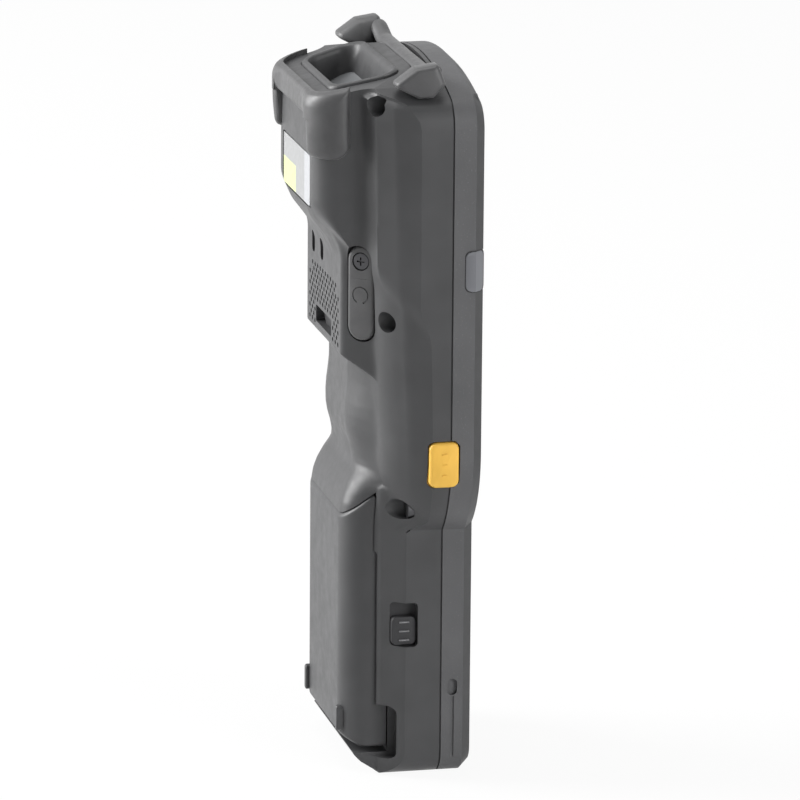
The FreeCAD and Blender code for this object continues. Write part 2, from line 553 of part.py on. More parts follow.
def make_battery():
    """Battery pack: case with a tongue, a slanted foot and two rests, inner cover, cell and contact pads."""
    half, back, corner = "battery_half", "battery_back", "battery_corner"
    body = new_body("battery_case")
    section = mirror_outline([(half, "bay_floor + 0.4"), (half, f"{back} - {corner}", corner),
                              (f"{half} - {corner}", back)])
    feature(body, "Pad", sketch(body, "XY_Plane", [section]), Length="90")
    low, high = "-5", "25"
    above = [(low, "tongue_foot"), ("bay_floor + 0.4", "tongue_foot"), ("tongue_y", battery_end("tongue_y")),
             (high, battery_end(high)), (high, "120"), (low, "120")]
    feature(body, "Pocket", sketch(body, "YZ_Plane", [above]), Length="2*bay_half + 4", Midplane=True)
    knee = "battery_back - (battery_foot - sole_z)/foot_rise"
    below = [(low, "-30"), (high, "-30"), (high, f"battery_foot + foot_rise*({high} - battery_back)"),
             (knee, "sole_z"), (low, "sole_z")]
    feature(body, "Pocket", sketch(body, "YZ_Plane", [below]), Length="2*bay_half + 4", Midplane=True)
    rests = [rounded(f"{side}19.1", "13.9", "2.4", "7", "1.15") for side in ("-", "")]
    feature(body, "Pad", sketch(body, "XZ_Plane", rests, "-battery_back - 0.9"), Length="5", Reversed=False)
    room = rounded("0", "39", "2*battery_half - 4.4", "54", "2")
    feature(body, "Pocket", sketch(body, "XZ_Plane", [room], "-bay_floor - 0.4"), Length="battery_back - bay_floor - 3.4")
    cover = plate("battery_cover", "XZ_Plane", [rounded("0", "39", "2*battery_half - 4.8", "53.6", "2")],
                  "-bay_floor - 0.4", "1.2", Reversed=True)
    pads = [rectangle(f"{index - 1.5} * 4.4", "contact_z", "2.6", "4") for index in range(4)]
    feature(cover, "Pocket", sketch(cover, "XZ_Plane", pads, "-bay_floor - 0.4"), Length="0.3")
    plate("battery_terminals", "XZ_Plane", [rectangle(f"{index - 1.5} * 4.4", "contact_z", "2.4", "3.8")
                                            for index in range(4)], "-bay_floor - 0.4", "0.3", Reversed=True)
    block("battery_cell", ("-battery_half + 2.6", "battery_half - 2.6"), ("bay_floor + 1.7", "battery_back - 3.3"),
          ("13", "65"))
    return body


def make_scan_window_parts():
    """Scan recess: tapered bezel, tilted window under it, and the engine behind."""
    def prism(body, inset, low, high):
        outline = mirror_outline([(f"recess_front_half - {inset}", f"recess_front + {inset}"),
                                  (f"recess_back_half - {inset}", f"recess_back - {inset}")])
        return feature(body, "Pad", sketch(body, "XY_Plane", [outline], low), Length=f"({high}) - ({low})")

    def cut(body, lean, height, upper):
        low, high = "-30", "40"
        far = "260" if upper else "100"
        wedge = [(low, f"{height} - ({low})*tan({lean})"), (high, f"{height} - ({high})*tan({lean})"),
                 (high, far), (low, far)]
        wedge = wedge if upper else wedge[::-1]
        feature(body, "Pocket", sketch(body, "YZ_Plane", [wedge]), Length="80", Midplane=True)

    bezel = new_body("scan_bezel")
    prism(bezel, "0.15", "167", "192")
    cut(bezel, "top_lean", "top_height + 0.5", True)
    inner = mirror_outline([("recess_front_half - bezel_rim", "recess_front + bezel_rim"),
                            ("recess_back_half - bezel_rim", "recess_back - bezel_rim")])
    feature(bezel, "Pocket", sketch(bezel, "XY_Plane", [inner], "165"), Length="40", Reversed=True)
    window = new_body("scan_window")
    prism(window, "(bezel_rim + 0.1)", "160", "195")
    cut(window, "window_lean", "recess_floor", True)
    cut(window, "window_lean", "recess_floor - window_thick", False)
    block("scan_engine", ("-15", "15"), ("-5.5", "14"), ("bulge_foot + 2.5", "165"))


def make_bumpers():
    """Rubber corner guards: one round the back of the bulge, one along the front of its top."""
    rear = new_body("rear_bumper")
    outer, round_ = "(bulge_half + bumper_thick)", "(bulge_corner + bumper_thick)"
    back = "(bulge_back + bumper_thick)"
    ring = mirror_outline([(outer, "bulge_back - 8.4"), (outer, f"{back} - {round_}", round_),
                           (f"{outer} - {round_}", back)])
    feature(rear, "Pad", sketch(rear, "XY_Plane", [ring], "bumper_foot"), Length="dome_top - bumper_foot")
    core = mirror_outline([("bulge_half + 0.05", "-4"), ("bulge_half + 0.05", "bulge_back - bulge_corner", "bulge_corner"),
                           ("bulge_half - bulge_corner", "bulge_back + 0.05")])
    feature(rear, "Pocket", sketch(rear, "XY_Plane", [core], "bumper_foot - 1"), Length="60", Reversed=True)
    above = [("-11", "top_height + 1.6 + 11*tan(top_lean)"), ("30", "top_height + 1.6 - 30*tan(top_lean)"),
             ("30", "230"), ("-11", "230")]
    feature(rear, "Pocket", sketch(rear, "YZ_Plane", [above]), Length="90", Midplane=True)
    gap = rounded("0", "bumper_foot + 1", "2*bumper_gap", "2*(bumper_bridge - bumper_foot - 1)", "3")
    feature(rear, "Pocket", sketch(rear, "XZ_Plane", [gap], "-30"), Length="30", Reversed=True)
    front = new_body("front_bumper")
    strip = mirror_outline([("31", "strip_foot"), ("31", "strip_foot + 2.6", "1.5"), ("29.5", "strip_foot + 3.6")])
    feature(front, "Pad", sketch(front, "XZ_Plane", [strip], "strip_back"), Length="strip_front - strip_back")
    for side in ("-", ""):
        levels = [("cap_x", "-4.5", "8", "13", "cap_foot"), ("cap_x", "-4.5", "8", "13", "cap_foot + 5.6"),
                  ("cap_x + 1.6", "-8.2", "3.4", "5", "cap_top")]
        loft(front, "AdditiveLoft", [sketch(front, "XY_Plane", [chamfered(f"{side}({x})", y, wide, deep, "2")], height)
                                     for x, y, wide, deep, height in levels])
    bores = [circle(f"{side}screw_x", "screw_top_z", "bore_dia/2 + 0.2") for side in ("-", "")]
    feature(front, "Pocket", sketch(front, "XZ_Plane", bores, "20"), Length="40")
    return rear, front


def make_jack_cover():
    """Rubber jack cover on the slanted flank: screwed anchor, hinged flap, screw and socket."""
    spin = FreeCAD.Rotation(FreeCAD.Vector(0, 0, 1), value_of("jack_turn"))
    top, foot = "(cover_z + cover_long/2)", "(cover_z - cover_long/2)"
    half = "(cover_wide/2)"
    split = f"({top} - cover_anchor)"
    anchor_line = [(f"-{half}", split), (half, split), (half, f"{top} - {half}", half), ("0", top, half),
                   (f"-{half}", f"{top} - {half}")]
    flap_line = [(f"-{half}", f"{foot} + {half}", half), ("0", foot, half), (half, f"{foot} + {half}"),
                 (half, f"{split} - 0.3"), (f"-{half}", f"{split} - 0.3")]
    pieces = [
        plate("jack_cover_anchor", "XZ_Plane", [anchor_line], "0", "cover_thick", Reversed=True),
        plate("jack_cover_flap", "XZ_Plane", [flap_line], "0", "cover_thick", Reversed=True),
        plate("jack_cover_screw", "XZ_Plane", [circle("0", f"{top} - 4.2", "1")], "4", "cover_thick + 3.2", Reversed=True),
        plate("jack_socket", "XZ_Plane", [circle("0", "cover_z - 5", "2.9"), circle("0", "cover_z - 5", "1.8")],
              "0.3", "5.4"),
    ]
    anchor, flap, screw, socket = pieces
    bore = sketch(anchor, "XZ_Plane", [circle("0", f"{top} - 4.2", "1.15")], "0")
    feature(anchor, "Pocket", bore, Length="cover_thick", Reversed=False)
    seat = sketch(anchor, "XZ_Plane", [circle("0", f"{top} - 4.2", "2.35")], "-cover_thick + 1.0")
    feature(anchor, "Pocket", seat, Length="2", Reversed=False)
    head = sketch(screw, "XZ_Plane", [circle("0", f"{top} - 4.2", "2.25")], "-cover_thick + 1.0")
    feature(screw, "Pad", head, Length="0.8", Reversed=True)
    for piece in pieces:
        piece.Placement = FreeCAD.Placement(FreeCAD.Vector(value_of("jack_x"), value_of("jack_y"), 0), spin)
    return pieces


def make_screws():
    """The six housing screws, as one group of separate solids."""
    made = doc.addObject("Part::Feature", "housing_screws")
    seat, tip = value_of("bore_floor"), value_of("cavity_back") - 6.4
    head, shank = value_of("head_dia") / 2, value_of("shank_dia") / 2 - 0.05
    solids = []
    for x, z in SCREWS:
        for side in (-1, 1):
            profile = [(0, tip), (shank, tip), (shank, seat), (head, seat), (head, seat + 1.6), (0, seat + 1.6), (0, tip)]
            points = [FreeCAD.Vector(r, y, 0) for r, y in profile]
            turned = Part.Face(Part.makePolygon(points)).revolve(FreeCAD.Vector(), FreeCAD.Vector(0, 1, 0), 360)
            turned.translate(FreeCAD.Vector(side * value_of(x), 0, value_of(z)))
            solids.append(turned)
    made.Shape = Part.makeCompound(solids)
    return made


def make_inner_parts():
    """Display, boards, chassis, keypad mat, speaker, microphone and connectors."""
    middle, tall = "(window_foot + window_head)/2", "window_head - window_foot"
    plate("display_window", "XZ_Plane", [rounded("0", middle, "2*window_half - 0.4", f"{tall} - 0.4", "2.8")],
          "face_depth - 0.05", "glass_thick", Reversed=True)
    block("display_module", ("-window_half + 3.5", "window_half - 3.5"), ("-face_depth + 1.6", "-face_depth + 5.5"),
          ("window_foot + 3.5", "window_head - 3.5"))
    block("inner_frame", ("-27.5", "27.5"), ("-face_depth + 5.6", "-face_depth + 7.6"),
          ("window_foot - 1", "window_head + 2"))
    block("main_board", ("-27.5", "27.5"), ("-face_depth + 7.9", "-face_depth + 9.5"),
          ("window_foot - 1", "window_head + 2"))
    block("processor_shield", ("-4", "18"), ("-face_depth + 9.5", "-face_depth + 11.9"), ("118", "144"))
    disc("backup_cell", ("-14", "158"), ("-face_depth + 9.5", "-face_depth + 11.7"), "5.2")
    mat = plate("keypad_mat", "XZ_Plane", [rounded("0", "47.5", "52.8", "85", "3")], "face_depth - 4.9", "1.2",
                Reversed=True)
    for row in KEY_ROWS:
        domes = [rectangle(x, z, "3.2", "3.2") for _, x, z, *_ in row]
        feature(mat, "Pad", sketch(mat, "XZ_Plane", domes, "face_depth - 4.9"), Length="1.05")
    pegs = [rectangle(f"{side}24.9", z, "2.2", "2.2") for z in ("6.8", "59", "87") for side in ("-", "")]
    feature(mat, "Pad", sketch(mat, "XZ_Plane", pegs, "face_depth - 4.9"), Length="4.9 - wall - 0.1")
    block("keypad_board", ("-26.4", "26.4"), ("-face_depth + 6.1", "-face_depth + 7.5"), ("5", "90"))
    disc("speaker", ("0", "124"), ("speaker_back - 6", "speaker_back - 2"), "12")
    disc("microphone", ("2", "139.4"), ("speaker_back - 4.4", "speaker_back - 2"), "2.4")
    plate("label_plate", "XZ_Plane", [rounded("0", "(label_low + label_high)/2", "2*label_half", "label_high - label_low",
                                              "0.6")], "-bulge_back + label_sunk", "label_sunk - 0.1", Reversed=True)
    block("battery_contacts", ("-9.4", "9.4"), ("-4", "bay_floor + 0.1"), ("contact_z - 2.8", "contact_z + 2.8"))
    block("dock_connector", ("-dock_half", "dock_half"), ("-11.6", "-8"), ("0.4", "5"))
    for side, name in ((-1, "left"), (1, "right")):
        lens = [("head_half - 3.3", "-face_depth + 3.15"), ("head_half - 3.3", "-face_depth + 0.32"),
                ("head_half - edge_inset - 0.05", "-edge_depth"), ("head_half - 0.05", "-rim_depth - 0.05"),
                ("head_half - 0.05", "-face_depth + 3.15")]
        outline = [(f"-({x})", y) for x, y in lens] if side < 0 else lens[::-1]
        plate(f"{name}_status_lens", "XY_Plane", [outline], "lens_z - lens_high/2 + 0.1", "lens_high - 0.2")
        make_side_key(f"{name}_scan_key", side)
        make_latch(f"{name}_latch", side)
    switches = doc.addObject("Part::Compound", "side_switches")
    switches.Links = [block(f"switch_{name}", low, ("-12.2", "cavity_back - 0.1"), ("side_key_z - 3", "side_key_z + 3"))
                      for name, low in (("west", ("-36.5", "-33.5")), ("east", ("33.5", "36.5")))]


make_front_housing()
make_rear_housing()
make_scan_window_parts()
make_bumpers()
make_jack_cover()
make_battery()
make_inner_parts()
make_screws()
for row in KEY_ROWS:
    for key in row:
        make_key(*key)
doc.recompute()

# A sub-part is every body and shape that no other object uses
used = {link for item in doc.Objects if item.TypeId == "Part::Compound" for link in item.Links}
subparts = [item for item in doc.Objects if item not in used
            and (item.TypeId == "PartDesign::Body" or item.TypeId.startswith("Part::"))]
problems = [f"{item.Name}: {item.State}" for item in doc.Objects
            if "Invalid" in item.State or "Error" in item.State]
problems += [f"{item.Label}: no valid shape" for item in subparts
             if item.Shape.isNull() or not item.Shape.isValid() or not item.Shape.Solids]
if problems:
    raise RuntimeError("; ".join(problems))

os.makedirs("parts", exist_ok=True)
for item in subparts:
    item.Shape.exportStep(f"parts/{item.Label}.step")
    box = item.Shape.BoundBox
    print(f"{item.Label}: {len(item.Shape.Solids)} solid(s), {item.Shape.Volume:.0f} mm3, "
          f"x {box.XMin:.1f}..{box.XMax:.1f} y {box.YMin:.1f}..{box.YMax:.1f} z {box.ZMin:.1f}..{box.ZMax:.1f}")
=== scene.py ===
import json
import logging
import math
from dataclasses import dataclass, field
from enum import Enum

import bmesh
import bpy
import numpy as np
from mathutils import Matrix, Vector

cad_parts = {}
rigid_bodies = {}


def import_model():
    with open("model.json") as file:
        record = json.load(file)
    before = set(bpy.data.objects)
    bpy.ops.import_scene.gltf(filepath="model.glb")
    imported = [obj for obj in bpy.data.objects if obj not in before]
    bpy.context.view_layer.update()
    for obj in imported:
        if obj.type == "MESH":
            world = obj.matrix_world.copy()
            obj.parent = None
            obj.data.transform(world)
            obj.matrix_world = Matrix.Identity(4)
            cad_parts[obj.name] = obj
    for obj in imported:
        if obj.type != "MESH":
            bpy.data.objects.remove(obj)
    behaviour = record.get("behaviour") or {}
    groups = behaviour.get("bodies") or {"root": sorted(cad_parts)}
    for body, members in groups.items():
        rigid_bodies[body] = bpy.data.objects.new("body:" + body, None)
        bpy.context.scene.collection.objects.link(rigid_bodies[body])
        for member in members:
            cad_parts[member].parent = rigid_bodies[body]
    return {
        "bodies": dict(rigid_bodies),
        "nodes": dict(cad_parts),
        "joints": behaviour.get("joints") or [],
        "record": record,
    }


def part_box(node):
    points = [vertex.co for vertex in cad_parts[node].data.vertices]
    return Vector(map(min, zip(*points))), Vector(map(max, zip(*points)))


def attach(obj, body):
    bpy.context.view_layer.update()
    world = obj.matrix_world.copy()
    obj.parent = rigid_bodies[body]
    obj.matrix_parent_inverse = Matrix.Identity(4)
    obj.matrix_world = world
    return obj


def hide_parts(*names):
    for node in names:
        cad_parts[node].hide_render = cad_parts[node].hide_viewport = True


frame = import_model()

# Upright hand-held barcode data terminal, standing on its lower end.
# Shapes are worked out in mm in the frame's axes (+Z up, -Y the keypad side) and scaled to metres last.

MM = 0.001
LOG = logging.getLogger("terminal")

Shape = tuple[np.ndarray, list]
Colour = tuple[float, float, float]


class Side(Enum):
    """A flank of the terminal, with the sign of its x."""

    LEFT = -1
    RIGHT = 1


@dataclass(frozen=True)
class Form:
    """Sizes in mm that more than one sub-assembly follows."""

    top_height: float = 184.1
    top_lean: float = math.tan(math.radians(13.6))
    bulge_half: float = 26.5
    bulge_back: float = 20.0
    bulge_corner: float = 8.0
    recess_wide: float = 24.0
    recess_narrow: float = 19.5
    recess_near: float = -2.6
    recess_far: float = 15.5
    battery_back: float = 12.2
    battery_end: float = 68.3
    battery_slant: float = 0.85
    battery_gap: float = 0.35
    cover_turn: float = 52.3
    cover_place: tuple[float, float] = (-22.5, 6.5)
    key_y: float = -10.4
    key_z: float = 86.1
    jack_screw_z: float = 136.8
    slider_y: float = -2.6
    well_z: float = 41.3

    def top(self, y: np.ndarray) -> np.ndarray:
        """Height of the leaning top at a depth."""
        return self.top_height - self.top_lean * y

    def battery_top(self, y: float) -> float:
        """Height of the battery's slanted upper end at a depth."""
        return self.battery_end + self.battery_slant * (self.battery_back - y)


FORM = Form()


def soft_min(a: np.ndarray, b: np.ndarray, reach: float) -> np.ndarray:
    """The lesser of two fields, rounded where they cross.

    Formula: min(a, b) less reach/4 times the square of how near they are, where they differ by less than reach.

    Args:
        a: First field.
        b: Second field.
        reach: Difference below which the rounding starts, in mm.

    Returns:
        The blended field.
    """
    near = np.maximum(reach - np.abs(a - b), 0.0) / reach
    return np.minimum(a, b) - near * near * reach / 4


def soft_max(a: np.ndarray, b: np.ndarray, reach: float) -> np.ndarray:
    """The greater of two fields, filleted where they cross: the mirror image of soft_min."""
    return -soft_min(-a, -b, reach)


def rounded_inset(a: np.ndarray, b: np.ndarray, radius: float) -> np.ndarray:
    """Distance inside a corner of two edges, rounded to a radius.

    Formula: radius less the length of the two shortfalls (radius - a, radius - b), each at least 0.
    """
    inside = radius - np.hypot(np.maximum(radius - a, 0), np.maximum(radius - b, 0))
    return np.where(np.minimum(a, b) < radius, inside, np.minimum(a, b))


def ramp(value: np.ndarray, low: float, high: float) -> np.ndarray:
    """A smooth step from 0 at low to 1 at high."""
    t = np.clip((value - low) / (high - low), 0, 1)
    return t * t * (3 - 2 * t)


def plane(value: np.ndarray, level: float, slope: float, start: float) -> np.ndarray:
    """A straight rise that has a level at a start."""
    return level + slope * (value - start)


def quarter_drop(over: np.ndarray, radius: float) -> np.ndarray:
    """How far a quarter circle has turned away at a distance along its tangent."""
    return radius - np.sqrt(np.maximum(radius**2 - over**2, 0))


def grid_faces(rows: int, columns: int, wrap: bool = False) -> np.ndarray:
    """Quads of a grid whose points are stored row by row.

    Args:
        rows: Number of rows of points.
        columns: Number of points in a row.
        wrap: Whether the last column joins the first.

    Returns:
        An array of four indices for each quad.
    """
    index = np.arange(rows * columns).reshape(rows, columns)
    if wrap:
        index = np.concatenate([index, index[:, :1]], axis=1)
    return np.stack([index[:-1, :-1], index[:-1, 1:], index[1:, 1:], index[1:, :-1]], axis=-1).reshape(-1, 4)


def grid_border(rows: int, columns: int) -> np.ndarray:
    """Indices of a grid's border points, in order round it."""
    index = np.arange(rows * columns).reshape(rows, columns)
    return np.concatenate([index[0, :-1], index[:-1, -1], index[-1, :0:-1], index[:0:-1, 0]])


def band(here: np.ndarray, there: np.ndarray) -> list:
    """Quads between two closed rows of as many points."""
    return np.stack([here, there, np.roll(there, -1), np.roll(here, -1)], 1).tolist()


def make_piece(name: str, points: np.ndarray, faces: list, crease: float = 30.0) -> bpy.types.Object:
    """A mesh object at the origin from points in mm, with its faces turned outwards.

    Args:
        name: Name of the piece.
        points: Array of n by 3 places in mm.
        faces: Index lists or arrays, one for each face.
        crease: Angle in degrees above which an edge stays sharp.

    Returns:
        The new object.
    """
    mesh = bpy.data.meshes.new(name)
    mesh.from_pydata((np.asarray(points) * MM).tolist(), [], [list(map(int, f)) for f in faces])
    work = bmesh.new()
    work.from_mesh(mesh)
    bmesh.ops.recalc_face_normals(work, faces=work.faces)
    work.to_mesh(mesh)
    work.free()
    finish_shading(mesh, crease)
    made = bpy.data.objects.new(name, mesh)
    bpy.context.scene.collection.objects.link(made)
    return made


def finish_shading(mesh: bpy.types.Mesh, crease: float) -> None:
    """Smooth shading with sharp edges above an angle in degrees."""
    mesh.polygons.foreach_set("use_smooth", np.ones(len(mesh.polygons), bool))
    mesh.set_sharp_from_angle(angle=math.radians(crease))


def placed(flat: np.ndarray, level: np.ndarray | float, axis: str) -> np.ndarray:
    """Points in space from an outline and a level.

    Args:
        flat: The outline along the two axes left over, in the order (x, z), (y, z) or (x, y).
        level: One level for all of it, or one for each point.
        axis: Axis that the level runs along.

    Returns:
        The points, as n by 3.
    """
    a, b = flat[:, 0], flat[:, 1]
    level = np.broadcast_to(level, a.shape)
    return np.stack({"y": [a, level, b], "z": [a, b, level], "x": [level, a, b]}[axis], 1)


def lofted(rings: list[np.ndarray]) -> Shape:
    """A closed shape through rings of as many points each, with a flat face on the first and the last ring.

    Args:
        rings: Arrays of points, as n by 3 each.

    Returns:
        The points and the faces.
    """
    count = len(rings[0])
    faces = grid_faces(len(rings), count, wrap=True).tolist()
    last = (len(rings) - 1) * count
    return np.concatenate(rings), faces + [list(range(count))[::-1], list(range(last, last + count))]


def rounded_rect(x: float, y: float, wide: float, high: float, radius: float, steps: int = 6) -> np.ndarray:
    """Corners of a rounded rectangle about a point, counterclockwise.

    Args:
        x: Middle along the first axis, in mm.
        y: Middle along the second axis.
        wide: Size along the first axis.
        high: Size along the second axis.
        radius: Corner radius.
        steps: Points on each quarter turn.

    Returns:
        The outline, as n by 2.
    """
    turn = np.linspace(0, math.pi / 2, steps)
    parts = []
    for quarter, (sx, sy) in enumerate(((1, 1), (-1, 1), (-1, -1), (1, -1))):
        centre = (x + sx * (wide / 2 - radius), y + sy * (high / 2 - radius))
        angle = turn + quarter * math.pi / 2
        parts.append(np.stack([centre[0] + radius * np.cos(angle), centre[1] + radius * np.sin(angle)], 1))
    return np.concatenate(parts)


def round_corners(corners: np.ndarray, radius: float, steps: int = 8) -> np.ndarray:
    """An outline's corners, each turned into an arc.

    Formula: at each corner the arc's centre lies on the bisector, where both sides are a radius away.

    Args:
        corners: Array of n by 2 corners, counterclockwise.
        radius: Radius of every corner, in mm.
        steps: Points on each arc.

    Returns:
        The rounded outline.
    """
    out = []
    for index in range(len(corners)):
        here = corners[index]
        to_last = corners[index - 1] - here
        to_next = corners[(index + 1) % len(corners)] - here
        to_last, to_next = to_last / np.linalg.norm(to_last), to_next / np.linalg.norm(to_next)
        half = math.acos(float(np.clip(to_last @ to_next, -1, 1))) / 2
        middle = (to_last + to_next) / np.linalg.norm(to_last + to_next)
        centre = here + middle * radius / math.sin(half)
        start = here + to_last * radius / math.tan(half) - centre
        end = here + to_next * radius / math.tan(half) - centre
        low, high = math.atan2(start[1], start[0]), math.atan2(end[1], end[0])
        high = low + (high - low + math.pi) % (2 * math.pi) - math.pi
        turn = np.linspace(low, high, steps)
        out.append(centre + radius * np.stack([np.cos(turn), np.sin(turn)], 1))
    return np.concatenate(out)


def recess_outline(inset: float, front: float, radius: float) -> np.ndarray:
    """Scan recess seen from above.

    Formula: four rounded corners move in with the inset, and the front two follow the leaning sides part of the way.

    Args:
        inset: How far every side is moved in, in mm.
        front: How far the front edge is moved in as well.
        radius: Radius of its corners.

    Returns:
        The places x, y of its points.
    """
    lean = (FORM.recess_wide - FORM.recess_narrow) / (FORM.recess_far - FORM.recess_near)
    wide = FORM.recess_wide - inset - 0.6 * lean * (inset + front)
    narrow, near, far = FORM.recess_narrow - inset, FORM.recess_near + inset + front, FORM.recess_far - inset
    return round_corners(np.array([[wide, near], [narrow, far], [-narrow, far], [-wide, near]]), radius)


def ring(x: float, y: float, radius: float, steps: int = 40) -> np.ndarray:
    """Corners of a circle about a point."""
    turn = np.arange(steps) * 2 * math.pi / steps
    return np.stack([x + radius * np.cos(turn), y + radius * np.sin(turn)], 1)


def prism(outline: np.ndarray, low: float, high: float, axis: str = "y") -> Shape:
    """A closed prism that carries an outline from one level to another along an axis.

    Args:
        outline: Corners along the two axes left over, in the order (x, z), (y, z) or (x, y).
        low: Lower level, in mm.
        high: Upper level.
        axis: Axis that the levels run along.

    Returns:
        The points and the faces, which are turned outwards whichever way the outline runs.
    """
    points, faces = lofted([placed(outline, level, axis) for level in (low, high)])
    a, b = outline[:, 0], outline[:, 1]
    outward = (np.sum(a * np.roll(b, -1) - np.roll(a, -1) * b) > 0) != (axis == "y")
    return points, faces if outward else [face[::-1] for face in faces]


def pillow(x: float, y: float, wide: float, high: float, radius: float, foot: float, top: float, edge: float,
           crown: float = 0.0, axis: str = "y") -> Shape:
    """A rounded rectangle with soft upper edges and a crown.

    Formula: the outline stays whole from foot to top less edge, is drawn in along a quarter circle of the edge's
    radius, and then shrinks to its middle while its level rises by the crown along a parabola.

    Args:
        x: Middle of the outline along its first axis, in mm.
        y: Middle of the outline along its second axis.
        wide: Size along the first axis.
        high: Size along the second axis.
        radius: Corner radius of the outline.
        foot: Level of the hidden end.
        top: Level where the crown starts; it may lie below the foot.
        edge: Radius of the upper edge.
        crown: Rise of the middle above the top.
        axis: Axis that the levels run along.

    Returns:
        The points and the faces.
    """
    way = 1.0 if top > foot else -1.0
    least = 0.05
    rings = [placed(rounded_rect(x, y, wide, high, radius), foot, axis)]
    for turn in np.linspace(0, math.pi / 2, 6):
        inset = edge * (1 - math.cos(turn))
        flat = rounded_rect(x, y, wide - 2 * inset, high - 2 * inset, max(radius - inset, least))
        rings.append(placed(flat, top - way * edge * (1 - math.sin(turn)), axis))
    inner = rounded_rect(0, 0, wide - 2 * edge, high - 2 * edge, max(radius - edge, least))
    for share in (0.75, 0.5, 0.25, 0.08):
        level = top + way * crown * (1 - share * share)
        rings.append(placed(inner * share + np.array([x, y]), level, axis))
    return lofted(rings)


@dataclass(frozen=True)
class Pocket:
    """A rounded opening: its outline's middle, size and corner radius, and the levels that it runs between.

    The first place and size are those along the first axis left over.
    """

    first: float
    second: float
    wide: float
    high: float
    radius: float
    low: float
    top: float
    axis: str = "y"
    steps: int = 6

    def shape(self, sign: int = 1) -> Shape:
        """The opening as a prism.

        Args:
            sign: Sign of x of the side that it lies on.

        Returns:
            The points and the faces.
        """
        first, levels = self.first * sign, (self.low, self.top)
        if self.axis == "x":
            first, levels = self.first, sorted((sign * self.low, sign * self.top))
        outline = rounded_rect(first, self.second, self.wide, self.high, self.radius, self.steps)
        return prism(outline, *levels, self.axis)


def joined(parts: list[Shape]) -> Shape:
    """Several closed shapes as one list of points and faces.

    Args:
        parts: The shapes, each as its points and its faces.

    Returns:
        The points and the faces.
    """
    points, faces, start = [], [], 0
    for some_points, some_faces in parts:
        points.append(some_points)
        faces += [[i + start for i in f] for f in some_faces]
        start += len(some_points)
    return np.concatenate(points), faces


def on_cover(shape: Shape) -> Shape:
    """A shape drawn about x = 0, y = 0, turned about Z and moved to where the jack cover lies.

    Args:
        shape: Points and faces in the cover's own axes.

    Returns:
        The shape in the terminal's axes.
    """
    points, faces = shape
    c, s = math.cos(math.radians(FORM.cover_turn)), math.sin(math.radians(FORM.cover_turn))
    x, y = points[:, 0], points[:, 1]
    across, back = FORM.cover_place
    return np.stack([c * x - s * y + across, s * x + c * y + back, points[:, 2]], 1), faces


def cut_away(piece: bpy.types.Object, shape: Shape, crease: float = 30.0) -> None:
    """Takes a closed shape out of a piece, and makes that part of its mesh.

    Args:
        piece: The piece that is cut.
        shape: Points and faces of what is taken out, in mm.
        crease: Angle in degrees above which an edge stays sharp.
    """
    tool = make_piece("cutter", *shape)
    step = piece.modifiers.new("cut", "BOOLEAN")
    step.operation, step.solver, step.object = "DIFFERENCE", "MANIFOLD", tool
    bpy.context.view_layer.update()
    piece_now = piece.evaluated_get(bpy.context.evaluated_depsgraph_get())
    made = bpy.data.meshes.new_from_object(piece_now)
    piece.modifiers.clear()
    piece.data = made
    finish_shading(made, crease)
    bpy.data.objects.remove(tool)


class Nodes:
    """A small builder of node trees."""

    def __init__(self, tree: bpy.types.NodeTree) -> None:
        """Empties a tree and builds in it."""
        self.tree = tree
        self.tree.nodes.clear()

    def fill(self, socket: bpy.types.NodeSocket, value: object) -> None:
        """Links a socket into another, or sets a number or colour on it.

        Args:
            socket: The input.
            value: A socket, a colour as three numbers, or a plain value.
        """
        if isinstance(value, bpy.types.NodeSocket):
            self.tree.links.new(value, socket)
        elif isinstance(value, tuple) and len(value) == 3:
            socket.default_value = (*value, 1.0)
        else:
            socket.default_value = value

    def node(self, kind: str, inputs: dict | None = None, **settings: object) -> bpy.types.Node:
        """Adds a node.

        Args:
            kind: The node's type without the word ShaderNode.
            inputs: Values or sockets for its inputs, by name or number.
            settings: Properties of the node.

        Returns:
            The new node.
        """
        made = self.tree.nodes.new("ShaderNode" + kind)
        for key, value in settings.items():
            setattr(made, key, value)
        for key, value in (inputs or {}).items():
            self.fill(made.inputs[key], value)
        return made

    def math(self, operation: str, one: object, two: object = 0.0) -> bpy.types.NodeSocket:
        """The result of a sum on two numbers or sockets."""
        return self.node("Math", {0: one, 1: two}, operation=operation).outputs[0]


